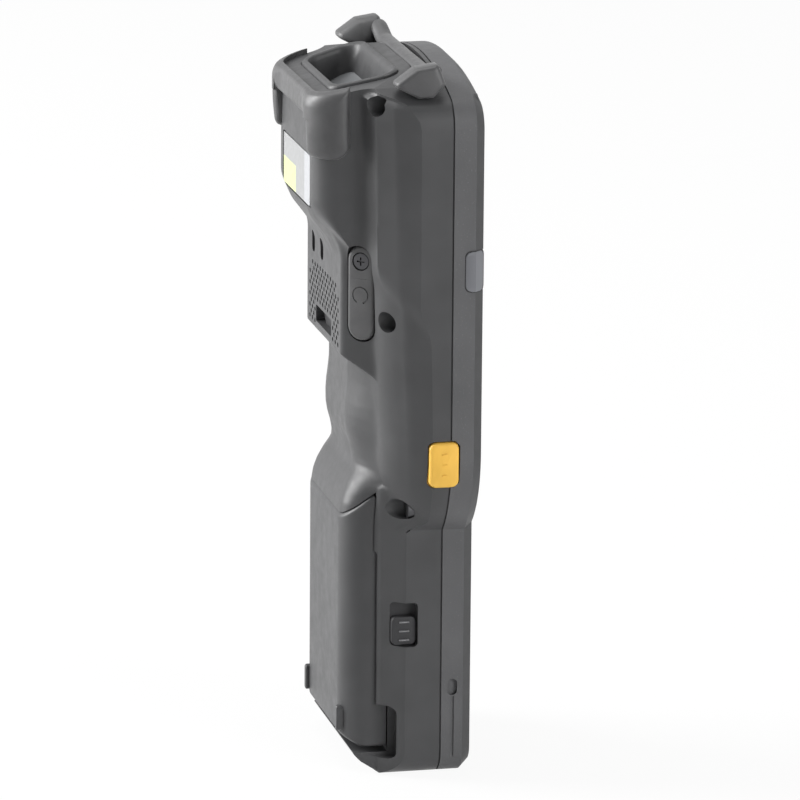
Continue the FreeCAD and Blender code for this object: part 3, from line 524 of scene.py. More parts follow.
class Shader(Nodes):
    """A material with a Principled shader whose patterns read Object coordinates."""

    def __init__(self, name: str) -> None:
        """Starts a material with its shader and its output.

        Args:
            name: Name of the material.
        """
        self.material = bpy.data.materials.new(name)
        self.material.use_nodes = True
        super().__init__(self.material.node_tree)
        self.body = self.node("BsdfPrincipled")
        self.node("OutputMaterial", {"Surface": self.body.outputs[0]})
        self.place = self.node("TexCoord").outputs["Object"]

    def noise(self, size: float, detail: float = 3.0, rough: float = 0.55) -> bpy.types.NodeSocket:
        """Noise whose patches are about a size in mm across."""
        return self.node("TexNoise", {"Vector": self.place, "Scale": 1 / (size * MM), "Detail": detail,
                                      "Roughness": rough}).outputs[0]

    def spread(self, socket: bpy.types.NodeSocket, low: float, high: float, bottom: float = 0.0,
               top: float = 1.0) -> bpy.types.NodeSocket:
        """A socket's range from low to high, mapped onto bottom to top and clamped."""
        return self.node("MapRange", {0: socket, 1: low, 2: high, 3: bottom, 4: top}).outputs[0]

    def blend(self, share: bpy.types.NodeSocket, one: object, two: object) -> bpy.types.NodeSocket:
        """A mix of two colours by a share from 0 to 1."""
        return self.node("Mix", {0: share, 6: one, 7: two}, data_type="RGBA").outputs[2]

    def axis(self, number: int) -> bpy.types.NodeSocket:
        """The place along one axis, 0 for x, 1 for y and 2 for z, in metres."""
        return self.node("SeparateXYZ", {0: self.place}).outputs[number]

    def bump(self, *layers: tuple[bpy.types.NodeSocket, float]) -> None:
        """Bumps laid over each other, each a height socket and its full height in mm.

        Args:
            layers: Pairs of a height socket and its full height in mm.
        """
        inputs: dict = {}
        for height, depth in layers:
            made = self.node("Bump", {"Height": height, "Distance": depth * MM, "Strength": 1.0, **inputs})
            inputs = {"Normal": made.outputs[0]}
        self.fill(self.body.inputs["Normal"], inputs["Normal"])

    def set(self, **values: object) -> None:
        """Sets or links the Principled shader's inputs, with underscores for spaces."""
        for key, value in values.items():
            self.fill(self.body.inputs[key.replace("_", " ")], value)


def scaled(colour: Colour, factor: float) -> Colour:
    """A colour made lighter or darker, with no channel above 1."""
    return tuple(min(1.0, c * factor) for c in colour)


@dataclass(frozen=True)
class Moulded:
    """Moulded plastic: a spark-eroded grain, faint flow shading and slightly polished wear.

    Pale flecks may lie on it, and in front of a depth its colour may be darkened: painted shade.
    """

    name: str
    colour: Colour
    rough: float = 0.5
    grain_mm: float = 0.35
    grain_deep: float = 0.012
    fleck: float = 0.0
    # Depth in mm in front of which the colour is darkened as painted shade.
    painted_shade_in_front_of: float = 0.0
    drift: float = 0.1
    fleck_tone: float = 3.2
    # Factor by which that painted shade darkens the colour.
    painted_shade_tone: float = 0.5

    def build(self) -> bpy.types.Material:
        """The plastic's material: grain as bump, and colour that wanders by a few percent.

        Returns:
            The new material.
        """
        s = Shader(self.name)
        drift = s.spread(s.noise(14, 2), 0.3, 0.7)
        tone = s.blend(drift, scaled(self.colour, 1 - self.drift), scaled(self.colour, 1 + self.drift))
        if self.fleck:
            spots = s.spread(s.noise(0.5, 1), 0.66, 0.72, 0.0, self.fleck)
            tone = s.blend(spots, tone, scaled(self.colour, self.fleck_tone))
        # In front of the depth the colour is darkened: painted shade. The grain bump covers both parts alike.
        if self.painted_shade_in_front_of:
            grained_and_painted_shade = s.math("GREATER_THAN", s.axis(1), self.painted_shade_in_front_of * MM)
            tone = s.blend(grained_and_painted_shade, scaled(self.colour, self.painted_shade_tone), tone)
        scuff = s.spread(s.noise(3.5, 4), 0.35, 0.75, self.rough - 0.05, self.rough + 0.07)
        s.set(Base_Color=tone, Roughness=scuff, IOR=1.46, Specular_IOR_Level=0.36)
        s.bump((s.noise(self.grain_mm, 2, 0.6), self.grain_deep), (s.noise(2.2, 2), 0.006))
        return s.material


@dataclass(frozen=True)
class Rubber:
    """Soft overmoulded rubber: nearly black, satin, with a fine dust and handling marks."""

    name: str
    colour: Colour
    rough: float = 0.55

    def build(self) -> bpy.types.Material:
        """The rubber's material: a faint sheen, cloudy roughness and very fine bump.

        Returns:
            The new material.
        """
        s = Shader(self.name)
        cloud = s.spread(s.noise(6, 4), 0.35, 0.7)
        marks = s.spread(s.noise(1.8, 3), 0.3, 0.7, self.rough - 0.06, self.rough + 0.08)
        s.set(Base_Color=s.blend(cloud, scaled(self.colour, 0.88), scaled(self.colour, 1.15)), Roughness=marks,
              IOR=1.5, Sheen_Weight=0.12, Sheen_Roughness=0.4)
        s.bump((s.noise(0.22, 2), 0.006), (s.noise(4, 2), 0.015))
        return s.material


@dataclass(frozen=True)
class Metal:
    """Plated or blackened metal with fine turning marks."""

    name: str
    colour: Colour
    rough: float = 0.35

    def build(self) -> bpy.types.Material:
        """The metal's material: colour and roughness that vary at a fine scale.

        Returns:
            The new material.
        """
        s = Shader(self.name)
        tone = s.blend(s.noise(0.8, 4), scaled(self.colour, 0.75), self.colour)
        marks = s.spread(s.noise(0.3, 3), 0.3, 0.7, self.rough - 0.1, self.rough + 0.12)
        s.set(Base_Color=tone, Metallic=1.0, Roughness=marks)
        s.bump((s.noise(0.15, 2), 0.004))
        return s.material


@dataclass(frozen=True)
class Clear:
    """Glass or frosted plastic that lets light through."""

    name: str
    colour: Colour
    rough: float
    passes: float

    def build(self) -> bpy.types.Material:
        """The clear material, with faint wipe marks in its roughness.

        Returns:
            The new material.
        """
        s = Shader(self.name)
        haze = s.spread(s.noise(9, 4), 0.4, 0.8, self.rough, self.rough + 0.06)
        tone = s.blend(s.noise(5, 2), self.colour, scaled(self.colour, 1.06))
        s.set(Base_Color=tone, Roughness=haze, Transmission_Weight=self.passes, IOR=1.5)
        s.bump((s.noise(7, 2), 0.004))
        return s.material


@dataclass(frozen=True)
class BlankLabel:
    """A blank silvery label with a pale strip on its near end and a yellow-green block low on its far end."""

    name: str
    paper: Colour
    patch: Colour
    strip: Colour
    patch_from_x: float
    patch_top_z: float
    strip_to_x: float

    def build(self) -> bpy.types.Material:
        """The label's material: print blocks by place, each with a soft paper mottle.

        Returns:
            The new material.
        """
        s = Shader(self.name)
        across, up = s.axis(0), s.axis(2)
        right = s.math("GREATER_THAN", across, self.patch_from_x * MM)
        low = s.math("LESS_THAN", up, self.patch_top_z * MM)
        mottle = s.spread(s.noise(1.5, 3), 0.3, 0.7)
        ground = s.blend(mottle, scaled(self.paper, 0.94), self.paper)
        ground = s.blend(s.math("LESS_THAN", across, self.strip_to_x * MM), ground, self.strip)
        s.set(Base_Color=s.blend(s.math("MULTIPLY", right, low), ground, self.patch),
              Roughness=s.spread(mottle, 0, 1, 0.28, 0.42), Coat_Weight=0.3, Coat_Roughness=0.15)
        s.bump((s.noise(0.4, 2), 0.004))
        return s.material


Finish = Moulded | Rubber | Metal | Clear | BlankLabel

CHARCOAL = Moulded("charcoal plastic", (0.058, 0.0585, 0.0605), 0.42, 0.3, 0.008)
# The front housing's bevel and keypad face, in front of y = -18.1, are darkened to half: painted shade.
CHARCOAL_GRAINED_PAINTED_SHADE = Moulded("charcoal plastic grained", (0.098, 0.0985, 0.102), 0.5, 0.55, 0.03, 0.12, -18.1)
CHARCOAL_KEY = Moulded("key plastic", (0.07, 0.07, 0.073), 0.42, 0.25, 0.006)
DARK_PLASTIC = Moulded("dark plastic", (0.03, 0.03, 0.032), 0.5, 0.3, 0.008)
WORN_PLASTIC = Moulded("worn grip plastic", (0.30, 0.30, 0.31), 0.45, 0.3, 0.006)
PRINT = Moulded("pale key print", (0.75, 0.75, 0.76), 0.5, 0.4, 0.003)
AMBER = Moulded("amber plastic", (0.80, 0.47, 0.075), 0.4, 0.3, 0.006)
GUARD_RUBBER = Rubber("guard rubber", (0.056, 0.056, 0.058), 0.45)
COVER_RUBBER = Rubber("cover rubber", (0.085, 0.085, 0.087), 0.5)
MAT_RUBBER = Rubber("mat rubber", (0.03, 0.03, 0.032), 0.6)
SCREW_STEEL = Metal("blackened steel", (0.10, 0.10, 0.105), 0.38)
TINNED = Metal("tinned steel", (0.65, 0.65, 0.66), 0.3)
GOLD = Metal("gold plating", (0.85, 0.62, 0.28), 0.25)
ALLOY = Metal("cast alloy", (0.6, 0.6, 0.62), 0.45)
SCAN_GLASS = Clear("scan glass", (0.30, 0.31, 0.32), 0.12, 0.25)
DISPLAY_GLASS = Clear("display glass", (0.5, 0.52, 0.55), 0.09, 0.85)
FROSTED = Clear("frosted guide", (0.21, 0.215, 0.235), 0.45, 0.3)
SCREEN = Moulded("dark screen", (0.012, 0.013, 0.016), 0.62, 1.2, 0.001)
BOARD_GREEN = Moulded("board lacquer", (0.02, 0.13, 0.05), 0.35, 0.8, 0.01)
CELL_WRAP = Moulded("cell wrap", (0.05, 0.12, 0.3), 0.35, 1.0, 0.01)
LABEL = BlankLabel("blank label", (0.29, 0.294, 0.298), (0.52, 0.58, 0.27), (0.40, 0.41, 0.43), 1.0, 156.8, -9.5)


@dataclass
class Model:
    """What each sub-assembly needs to add its pieces."""

    frame: dict
    built: dict[str, bpy.types.Material] = field(default_factory=dict)

    def dress(self, piece: bpy.types.Object, finish: Finish) -> None:
        """Gives a piece or a CAD node one finish all over, building it when it is first asked for.

        Args:
            piece: The piece or the node.
            finish: Its finish.
        """
        if finish.name not in self.built:
            self.built[finish.name] = finish.build()
        if not piece.material_slots:
            piece.data.materials.append(self.built[finish.name])
        for place in piece.material_slots:
            place.material = self.built[finish.name]

    def add(self, piece: bpy.types.Object, finish: Finish, slot: str, body: str = "terminal",
            replaces: tuple[str, ...] = ()) -> None:
        """Dresses a new piece, sets what it rides on, hides the CAD nodes that it is shown in place of, and logs it.

        Args:
            piece: The new piece.
            finish: Its finish.
            slot: Material slot that it stands for; not used.
            body: Body that it rides on.
            replaces: CAD nodes in whose place it is shown.
        """
        self.dress(piece, finish)
        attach(piece, body)
        if replaces:
            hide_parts(*replaces)
        count = len(piece.data.polygons)
        LOG.info("%s: %d faces, on %s, for %s", piece.name, count, body, replaces or "itself")

    def keep(self, finish: Finish, *nodes: str) -> None:
        """Gives CAD nodes that keep their shape a finish.

        Args:
            finish: Their finish.
            nodes: Names of the nodes.
        """
        for name in nodes:
            self.dress(self.frame["nodes"][name], finish)
            LOG.info("%s: kept, in %s", name, finish.name)


@dataclass
class RearShell:
    """Battery-side housing: one height field over the terminal's front outline, with its openings cut in.

    Facets are given as their level, their rise per mm and the place where they have that level.
    """

    model: Model
    head_half: float = 40.4
    handle_half: float = 31.0
    waist_radius: float = 29.3
    waist_top: float = 88.0
    dome_radius: float = 113.0
    dome_top: float = 186.5
    head_corner: float = 8.0
    base_corner: float = 7.0
    middle: float = 95.0
    seam: float = -12.4
    dome_share: float = 4.4
    collar: tuple[float, float, float] = (-9.5, 0.02304, 0.0)
    ridge: tuple[float, float, float] = (-7.2, 0.0533, 0.0)
    shoulder: tuple[float, float, float] = (-2.1, 0.0533, 0.0)
    collar_wide: float = 3.4
    ridge_wide: float = 6.0
    shoulder_rise: float = 0.24
    rail_wall: tuple[float, float, float] = (-2.2, 2.2, 0.0)
    rail_slope: tuple[float, float, float] = (-0.4, 1.27, 1.8)
    rail_top: tuple[float, float, float] = (3.6, 0.1, 4.8)
    foot_heights: tuple[float, ...] = (0.0, 3.2, 5.4)
    foot_levels: tuple[float, ...] = (2.3, 7.5, 9.6)
    lip_half: float = 24.2
    lip_top: float = 14.0
    handle_top: float = 77.0
    fillet_level: float = 5.5
    fillet_radius: float = 6.0
    underside: tuple[float, float] = (12.6, 0.78)
    underside_z: tuple[float, float, float] = (138.4, 0.26, 12.0)
    panel_back: float = 12.6
    panel_side: tuple[float, float] = (-1.286, 20.8)
    ledge: tuple[float, float, float] = (8.4, 1.5, 108.6)
    neck_z: tuple[float, ...] = (55, 62, 66, 68.5, 71.5, 74.5, 77.5, 79.6, 81, 83, 86, 88.6, 91, 94, 97, 100, 103,
                                 107, 112)
    neck_back: tuple[float, ...] = (12.2, 12.2, 12.2, 12.0, 11.5, 10.5, 9.1, 7.9, 7.35, 7.3, 7.9, 8.75, 9.15, 9.2,
                                    8.95, 8.4, 7.8, 7.5, 7.5)
    neck_flat: tuple[float, float] = (16.6, 11.0)
    neck_radius: tuple[float, float] = (8.0, 19.0)
    neck_ends: tuple[float, float] = (60.0, 111.0)
    neck_turn: tuple[float, float] = (72.0, 86.0)
    steep: float = 3.0
    rim: tuple[tuple[float, float], ...] = ((0.45, 0.0), (0.42, 0.5), (0.0, 0.5))
    top_cut: tuple[float, float, float] = (-9.5, 40.0, 230.0)
    recess_corner: float = 4.6
    bay: tuple[float, float, float] = (0.4, 30.0, 5.6)
    bay_half: float = 25.1
    slider_well: Pocket = Pocket(FORM.slider_y, FORM.well_z, 6.9, 11.8, 1.2, 27.6, 34.0, "x")
    key_hole: Pocket = Pocket(FORM.key_y, FORM.key_z, 8.3, 12.5, 1.7, 37.5, 44.0, "x")
    finger_notch: Pocket = Pocket(27.0, 11.8, 5.2, 14.4, 2.0, -1.6, 12.0)
    contact_well: Pocket = Pocket(0.0, 58.0, 19.4, 6.2, 0.5, -2.6, 1.4)
    microphone_slots: tuple[Pocket, ...] = (Pocket(2.5, 134.2, 3.4, 5.8, 1.5, 9.4, 16.0),
                                            Pocket(12.8, 134.2, 3.4, 5.8, 1.5, 9.4, 16.0))
    speaker_slot: Pocket = Pocket(0.0, 115.8, 18.6, 4.4, 0.6, 10.2, 16.0)
    label_recess: Pocket = Pocket(0.0, 156.4, 33.2, 14.2, 1.0, 19.4, 24.0)
    dock_well: Pocket = Pocket(0.0, -9.8, 18.0, 4.0, 0.6, -1.0, 3.0, "z")
    guard_seat: Pocket = Pocket(0.0, 203.6, 62.6, 40.2, 0.5, -10.9, -6.1)
    jack_seat: Pocket = Pocket(-0.15, 128.5, 8.3, 25.8, 4.1, 0.0, 9.0, steps=10)
    jack_bores: tuple[tuple[float, float, float], ...] = ((123.5, 3.1, 6.0), (FORM.jack_screw_z, 1.1, 5.0))
    screw_bores: tuple[tuple[float, float], ...] = ((32.0, 178.5), (32.0, 122.3), (30.0, 72.3))
    bore_radius: float = 2.7
    bore_floor: float = -4.6
    horn_notch: tuple[tuple[float, float], ...] = ((3.3, 184.5), (3.3, 198.0), (-11.2, 198.0), (-11.2, 184.5),
                                                   (-7.7, 180.8), (-3.7, 180.7))
    horn_notch_x: tuple[float, float] = (29.9, 45.0)
    hole_columns: int = 23
    hole_first: float = -17.4
    hole_pitch: tuple[float, float] = (1.56, 1.5)
    hole_radius: float = 0.66
    hole_rows: tuple[float, float, float] = (113.4, 119.6, 129.4)
    hole_slot: float = 10.6
    hole_corner: tuple[float, float] = (14.5, 126.5)
    columns: int = 190
    rows: int = 380

    def half_width(self, z: np.ndarray) -> np.ndarray:
        """Half the outline's width at a height: handle, then an arc that runs into the head."""
        drop = np.clip(self.waist_top - z, 0, self.waist_radius)
        return np.maximum(self.handle_half, self.head_half - quarter_drop(drop, self.waist_radius))

    def lower_end(self, x: np.ndarray) -> np.ndarray:
        """The outline's lower end: flat, with a quarter round at each corner."""
        over = np.clip(np.abs(x) - self.handle_half + self.base_corner, 0, self.base_corner)
        return quarter_drop(over, self.base_corner)

    def upper_end(self, x: np.ndarray) -> np.ndarray:
        """The outline's upper end: a shallow dome that turns into a rounded corner each side.

        Formula: the corner's circle touches the dome's from inside, where x is side * radius / reach.

        Args:
            x: Places across the terminal, in mm.

        Returns:
            The height at each place.
        """
        centre = self.dome_top - self.dome_radius
        reach = self.dome_radius - self.head_corner
        side = self.head_half - self.head_corner
        rise = math.sqrt(reach**2 - side**2)
        dome = centre + np.sqrt(self.dome_radius**2 - np.minimum(np.abs(x), self.head_half) ** 2)
        over = np.clip(np.abs(x) - side, 0, self.head_corner)
        corner = centre + rise + np.sqrt(self.head_corner**2 - over**2)
        return np.where(np.abs(x) > side * self.dome_radius / reach, corner, dome)

    def places(self) -> tuple[np.ndarray, np.ndarray]:
        """The grid's x and z: columns share out the width, rows the height between the two ends.

        Formula: both shares run a little closer together near the edges, by a part of a sine. Width and ends depend
        on each other, so they are worked out in turn until they settle.

        Returns:
            The places across and the heights, one row of the grid after the other.
        """
        closer_x, closer_z = 0.38, 0.2
        u, v = np.linspace(-1, 1, self.columns), np.linspace(0, 1, self.rows)
        u = (1 - closer_x) * u + closer_x * np.sin(math.pi * u / 2)
        v = (1 - closer_z) * v + closer_z * (1 - np.cos(math.pi * v)) / 2
        across, up = np.meshgrid(u, v)
        z = up * self.dome_top
        for _ in range(6):
            x = across * self.half_width(z)
            z = self.lower_end(x) + up * (self.upper_end(x) - self.lower_end(x))
        return x, z

    def head(self, x: np.ndarray, z: np.ndarray) -> np.ndarray:
        """Depth of the head's plate: collar, ridge facet and shoulder facet, by the inset from its outline.

        Formula: three planes over the inset rise ever less, and the lowest counts, rounded where they cross.

        Args:
            x: Places across the terminal, 0 or more, in mm.
            z: Heights of the places, in mm.

        Returns:
            The depth at each place.
        """
        wide = np.maximum(x - self.head_half + self.waist_radius, 0)
        side = self.waist_radius - np.hypot(wide, np.maximum(self.waist_top - z, 0))
        dome = self.dome_radius - np.hypot(x, z - self.dome_top + self.dome_radius)
        inset = rounded_inset(side, self.dome_share * dome, self.head_corner)
        collar, ridge, shoulder = (plane(z, *facet) for facet in (self.collar, self.ridge, self.shoulder))
        first = plane(inset, collar, (ridge - collar) / self.collar_wide, 0) - 9 * np.maximum(-inset, 0)
        second = plane(inset, ridge, (shoulder - ridge) / self.ridge_wide, self.collar_wide)
        third = plane(inset, shoulder, self.shoulder_rise, self.collar_wide + self.ridge_wide)
        return soft_min(soft_min(first, second, reach=0.7), third, reach=2.2)

    def handle(self, x: np.ndarray, z: np.ndarray) -> np.ndarray:
        """Depth of the handle's rails and of the lip under the battery.

        Formula: the lowest of three planes over the inset and of a rise from the foot, joined below with the lip.

        Args:
            x: Places across the terminal, 0 or more, in mm.
            z: Heights of the places, in mm.

        Returns:
            The depth at each place.
        """
        inset = self.handle_half - x
        wall, slope, top = (plane(inset, *facet) for facet in (self.rail_wall, self.rail_slope, self.rail_top))
        under = np.interp(z, self.foot_heights, self.foot_levels)
        rail = soft_min(soft_min(soft_min(wall, slope, reach=1.2), top, reach=1.0), under, reach=0.8)
        lip = soft_min(under, self.foot_levels[-1] - 4.0 * np.maximum(x - self.lip_half, 0), reach=0.8)
        both = np.where(z < self.lip_top, soft_max(rail, lip, reach=0.8), rail)
        return both - 2.0 * np.maximum(z - self.handle_top, 0)

    def bulge(self, x: np.ndarray, z: np.ndarray) -> np.ndarray:
        """Depth of the engine bulge: rounded back corners, a fillet to the shoulders and a swept underside.

        Formula: a section by x, flat with two quarter circles, capped by a slanted plane that rises with z.

        Args:
            x: Places across the terminal, 0 or more, in mm.
            z: Heights of the places, in mm.

        Returns:
            The depth at each place.
        """
        over = np.clip(x - FORM.bulge_half + FORM.bulge_corner, 0, FORM.bulge_corner)
        past = np.clip(x - FORM.bulge_half, 0, self.fillet_radius)
        fillet = self.fillet_level + quarter_drop(self.fillet_radius - past, self.fillet_radius)
        section = np.where(x <= FORM.bulge_half, FORM.bulge_back - quarter_drop(over, FORM.bulge_corner), fillet)
        section = section - 1.2 * np.maximum(x - FORM.bulge_half - self.fillet_radius, 0)
        low, slant, flat = self.underside_z
        underside = plane(z, *self.underside, low + slant * np.maximum(x - flat, 0))
        return soft_min(section, underside, reach=2.4)

    def speaker(self, x: np.ndarray, z: np.ndarray) -> np.ndarray:
        """Depth of the speaker section: a flat panel with slanted sides and a ledge below.

        Args:
            x: Places across the terminal, 0 or more, in mm.
            z: Heights of the places, in mm.

        Returns:
            The depth at each place.
        """
        panel = soft_min(np.full_like(x, self.panel_back), plane(x, self.panel_back, *self.panel_side), reach=1.0)
        return soft_min(panel, plane(z, *self.ledge), reach=0.8)

    def neck(self, x: np.ndarray, z: np.ndarray) -> np.ndarray:
        """Depth of the neck: hump over the battery, scoop and finger ridge, with flanks that turn away.

        Formula: a depth by z along the middle, less a quarter circle by x whose radius grows with z.

        Args:
            x: Places across the terminal, 0 or more, in mm.
            z: Heights of the places, in mm.

        Returns:
            The depth at each place.
        """
        share = ramp(z, *self.neck_turn)
        flat, radius = (low + (high - low) * share for low, high in (self.neck_flat, self.neck_radius))
        reach = radius * 0.985
        turn = quarter_drop(np.clip(x - flat, 0, reach), radius)
        low, high = self.neck_ends
        past = np.maximum(x - flat - reach, 0) + np.maximum(z - high, 0) + np.maximum(low - z, 0)
        return np.interp(z, self.neck_z, self.neck_back) - turn - self.steep * past

    def depth(self, x: np.ndarray, z: np.ndarray) -> np.ndarray:
        """Depth y of the outside: the forms' greatest depth, filleted where they meet.

        Args:
            x: Places across the terminal, in mm.
            z: Heights of the places, in mm.

        Returns:
            The depth at each place.
        """
        x = np.abs(x)
        y = soft_max(self.head(x, z), self.handle(x, z), reach=1.6)
        y = soft_max(y, self.neck(x, z), reach=2.4)
        y = soft_max(y, self.speaker(x, z), reach=0.9)
        return soft_max(y, self.bulge(x, z), reach=3.2)

    def body(self) -> bpy.types.Object:
        """The closed shell: the field's grid, a wall round its edge down to the seam, and a lid on the seam plane.

        Returns:
            The shell before its openings are cut.
        """
        x, z = self.places()
        top = np.stack([x, self.depth(x, z), z], -1).reshape(-1, 3)
        last = grid_border(*x.shape)
        foot, inward = top[last], self.inward(top[last])
        points, faces = [top], grid_faces(*x.shape).tolist()
        for step, (lift, inset) in enumerate(self.rim):
            drawn = foot + inward * inset
            drawn[:, 1] = self.seam + lift
            here = len(top) + step * len(foot) + np.arange(len(foot))
            points.append(drawn)
            faces += band(last, here)
            last = here
        return make_piece("rear_shell", np.concatenate(points), faces + [last.tolist()])

    def inward(self, foot: np.ndarray) -> np.ndarray:
        """Unit vectors that point into the outline from each point of its closed edge.

        Formula: the tangent is the difference of both neighbours, and its quarter turn towards the middle points in.

        Args:
            foot: Places on the edge, in order, as n by 3.

        Returns:
            The vectors, as n by 3.
        """
        tangent = np.roll(foot, -1, 0) - np.roll(foot, 1, 0)
        normal = np.stack([-tangent[:, 2], np.zeros(len(foot)), tangent[:, 0]], 1)
        normal /= np.maximum(np.linalg.norm(normal, axis=1, keepdims=True), 1e-9)
        away = np.sum(normal * (np.array([0.0, self.seam, self.middle]) - foot), 1) < 0
        normal[away] *= -1
        return normal

    def openings(self) -> list[Shape]:
        """The shapes that are cut out one after the other: those in one joined shape don't touch each other.

        Returns:
            The cutting shapes, in mm.
        """
        near, far, above = self.top_cut
        over = np.array([[near, FORM.top(near)], [far, FORM.top(far)], [far, above], [near, above]])
        deep, out, floor = self.bay
        slant = [[y, FORM.battery_top(y) + FORM.battery_gap] for y in (out, deep)]
        apart = [prism(recess_outline(0.0, 0.0, self.recess_corner), 166.0, 200.0, "z"),
                 prism(np.array([[deep, floor], [out, floor], *slant]), -self.bay_half, self.bay_half, "x")]
        for pocket in (*self.microphone_slots, self.speaker_slot, self.label_recess, self.dock_well):
            apart.append(pocket.shape())
        inner, horns = [self.contact_well.shape(), *self.grille()], []
        for sign in (-1, 1):
            apart += [self.slider_well.shape(sign), self.key_hole.shape(sign)]
            apart += [prism(ring(sign * x, z, self.bore_radius), self.bore_floor, 40.0) for x, z in self.screw_bores]
            inner.append(self.finger_notch.shape(sign))
            horns.append(prism(np.array(self.horn_notch), *sorted(sign * x for x in self.horn_notch_x), "x"))
        inner += [on_cover(prism(ring(0.0, z, radius), -depth, 1.0)) for z, radius, depth in self.jack_bores]
        return [prism(over, -30.0, 30.0, "x"), joined(apart), on_cover(self.jack_seat.shape()), joined(inner),
                self.guard_seat.shape(), joined(horns)]

    def grille(self) -> list[Shape]:
        """The sound holes, as short round prisms in staggered columns, with more rows beside the slot.

        Returns:
            One prism for each hole.
        """
        holes, (across, up) = [], self.hole_pitch
        beside, over, high = self.hole_rows
        for column in range(self.hole_columns):
            x = self.hole_first + across * column
            low = beside if abs(x) > self.hole_slot else over
            for z in np.arange(low + up * (column % 2), high, 2 * up):
                if abs(x) < self.hole_corner[0] or z < self.hole_corner[1]:
                    holes.append(prism(ring(x, z, self.hole_radius, 10), 8.6, 14.0))
        return holes

    def build(self) -> None:
        """Makes the shell, cuts its openings and puts it in the place of the CAD housing."""
        shell = self.body()
        for shape in self.openings():
            cut_away(shell, shape)
        self.model.add(shell, CHARCOAL, "housing", replaces=("rear_housing",))


@dataclass
class RubberGuards:
    """Rubber corner guards: one round the back of the bulge, one with two horns along the front of the top.

    Each place along a horn gives its distance from the middle plane, its outline's size and how far it is lowered.
    """

    model: Model
    side_end: float = 11.7
    foot: float = 163.6
    bridge: float = 173.4
    gap: float = 18.2
    over_top: float = 1.3
    end_radius: float = 4.5
    gap_radius: float = 2.6
    thin: float = 1.45
    thick: float = 2.45
    thin_edge: float = 1.6
    cap_edge: float = 4.0
    hidden: float = -0.5
    cap_run: tuple[float, float] = (12.0, 21.0)
    cap_rise: tuple[float, float] = (-2.0, 9.0)
    grid: tuple[int, int] = (181, 61)
    horn_corners: tuple[tuple[float, float], ...] = ((3.0, 184.4), (-3.0, 188.7), (-8.9, 189.6), (-10.9, 184.4),
                                                     (-7.6, 181.0), (-3.8, 180.9))
    horn_middle: tuple[float, float] = (-4.6, 184.4)
    horn_places: tuple[tuple[float, float, float], ...] = (
        (28.6, 0.3, 1.2), (29.6, 0.62, 0.9), (30.6, 0.84, 0.45), (31.6, 0.95, 0.15), (32.8, 1.0, 0.0),
        (35.9, 1.0, 0.0), (36.7, 0.975, 0.0), (37.3, 0.92, 0.0), (37.65, 0.84, 0.0), (37.8, 0.7, 0.0))
    bead_half: float = 31.5
    bead_middle: tuple[float, float] = (-8.5, 184.6)
    bead_radii: tuple[float, float] = (2.3, 2.0)
    bead_rise: float = 2.2
    bead_rises: tuple[float, float] = (22.0, 32.0)

    def wrap(self, run: np.ndarray) -> tuple[np.ndarray, np.ndarray]:
        """The bulge's outline seen from above.

        Formula: straight side, quarter circle, straight back and the same again, as places by the length run.

        Args:
            run: Lengths along the outline from the middle of the back, towards -x below 0.

        Returns:
            The places and the outward normals, each as n by 2 arrays.
        """
        corner, flat = FORM.bulge_corner, FORM.bulge_half - FORM.bulge_corner
        bend = corner * math.pi / 2
        way, far = np.sign(run), np.abs(run)
        turn = np.clip(far - flat, 0, bend) / corner
        x = np.minimum(far, flat) + corner * np.sin(turn)
        y = FORM.bulge_back - corner * (1 - np.cos(turn)) - np.maximum(far - flat - bend, 0)
        return np.stack([way * x, y], -1), np.stack([way * np.sin(turn), np.cos(turn)], -1)

    def rear(self) -> None:
        """The rear guard: a strip over the label with a large soft cap on each corner.

        Formula: thickness rises from the guard's border along a quarter ellipse and swells on the caps. Its upper
        edge follows the leaning top and is rounded in the same way.
        """
        corner, end = FORM.bulge_corner, self.end_radius
        reach = FORM.bulge_half - corner + corner * math.pi / 2 + FORM.bulge_back - corner - self.side_end
        run = np.linspace(-reach, reach, self.grid[0])
        place, normal = self.wrap(run)
        far = np.abs(run)
        top = FORM.top(place[:, 1]) + self.over_top
        cap_foot = self.foot + quarter_drop(np.clip(far - reach + end, 0, end), end)
        cap_foot += quarter_drop(np.clip(self.gap + self.gap_radius - far, 0, self.gap_radius), self.gap_radius)
        low = np.where(far < self.gap, self.bridge, cap_foot)[:, None]
        top, far = top[:, None], far[:, None]
        z = low + (top - low) * np.linspace(0, 1, self.grid[1])
        inset = np.minimum(np.minimum(z - low, top - z), reach - far)
        inset = np.minimum(inset, np.where(z < self.bridge, far - self.gap, np.inf))
        cap = ramp(far, *self.cap_run) * ramp(z - self.foot, *self.cap_rise)
        t = np.clip(inset / (self.thin_edge + (self.cap_edge - self.thin_edge) * cap), 0, 1)
        out = (self.thin + (self.thick - self.thin) * cap) * np.sqrt(1 - (1 - t) ** 2) * ramp(t, -0.2, 0.2)
        skins = [np.concatenate([place[:, None, :] + normal[:, None, :] * skin[:, :, None], z[:, :, None]], -1)
                 for skin in (out, np.full_like(out, self.hidden))]
        count = z.size
        grid, rim = grid_faces(*z.shape), grid_border(*z.shape)
        faces = grid.tolist() + (grid[:, ::-1] + count).tolist() + band(rim, rim + count)
        piece = make_piece("rear_guard", np.concatenate(skins).reshape(-1, 3), faces, 50.0)
        self.model.add(piece, GUARD_RUBBER, "bumper_rubber", replaces=("rear_bumper",))

    def horn(self, side: int) -> Shape:
        """A wedge on a front corner of the top, with soft edges.

        Formula: one rounded outline in y and z is carried along x, and at each place it is drawn towards its middle
        and lowered, so that the inner end runs down to the bead and the outer end has a rounded edge.

        Args:
            side: Sign of x.

        Returns:
            The points and the faces.
        """
        flat = round_corners(np.array(self.horn_corners), 1.0, 7)
        middle = np.array(self.horn_middle)
        return lofted([placed(middle + (flat - middle) * size - np.array([0, drop]), side * x, "x")
                       for x, size, drop in self.horn_places])

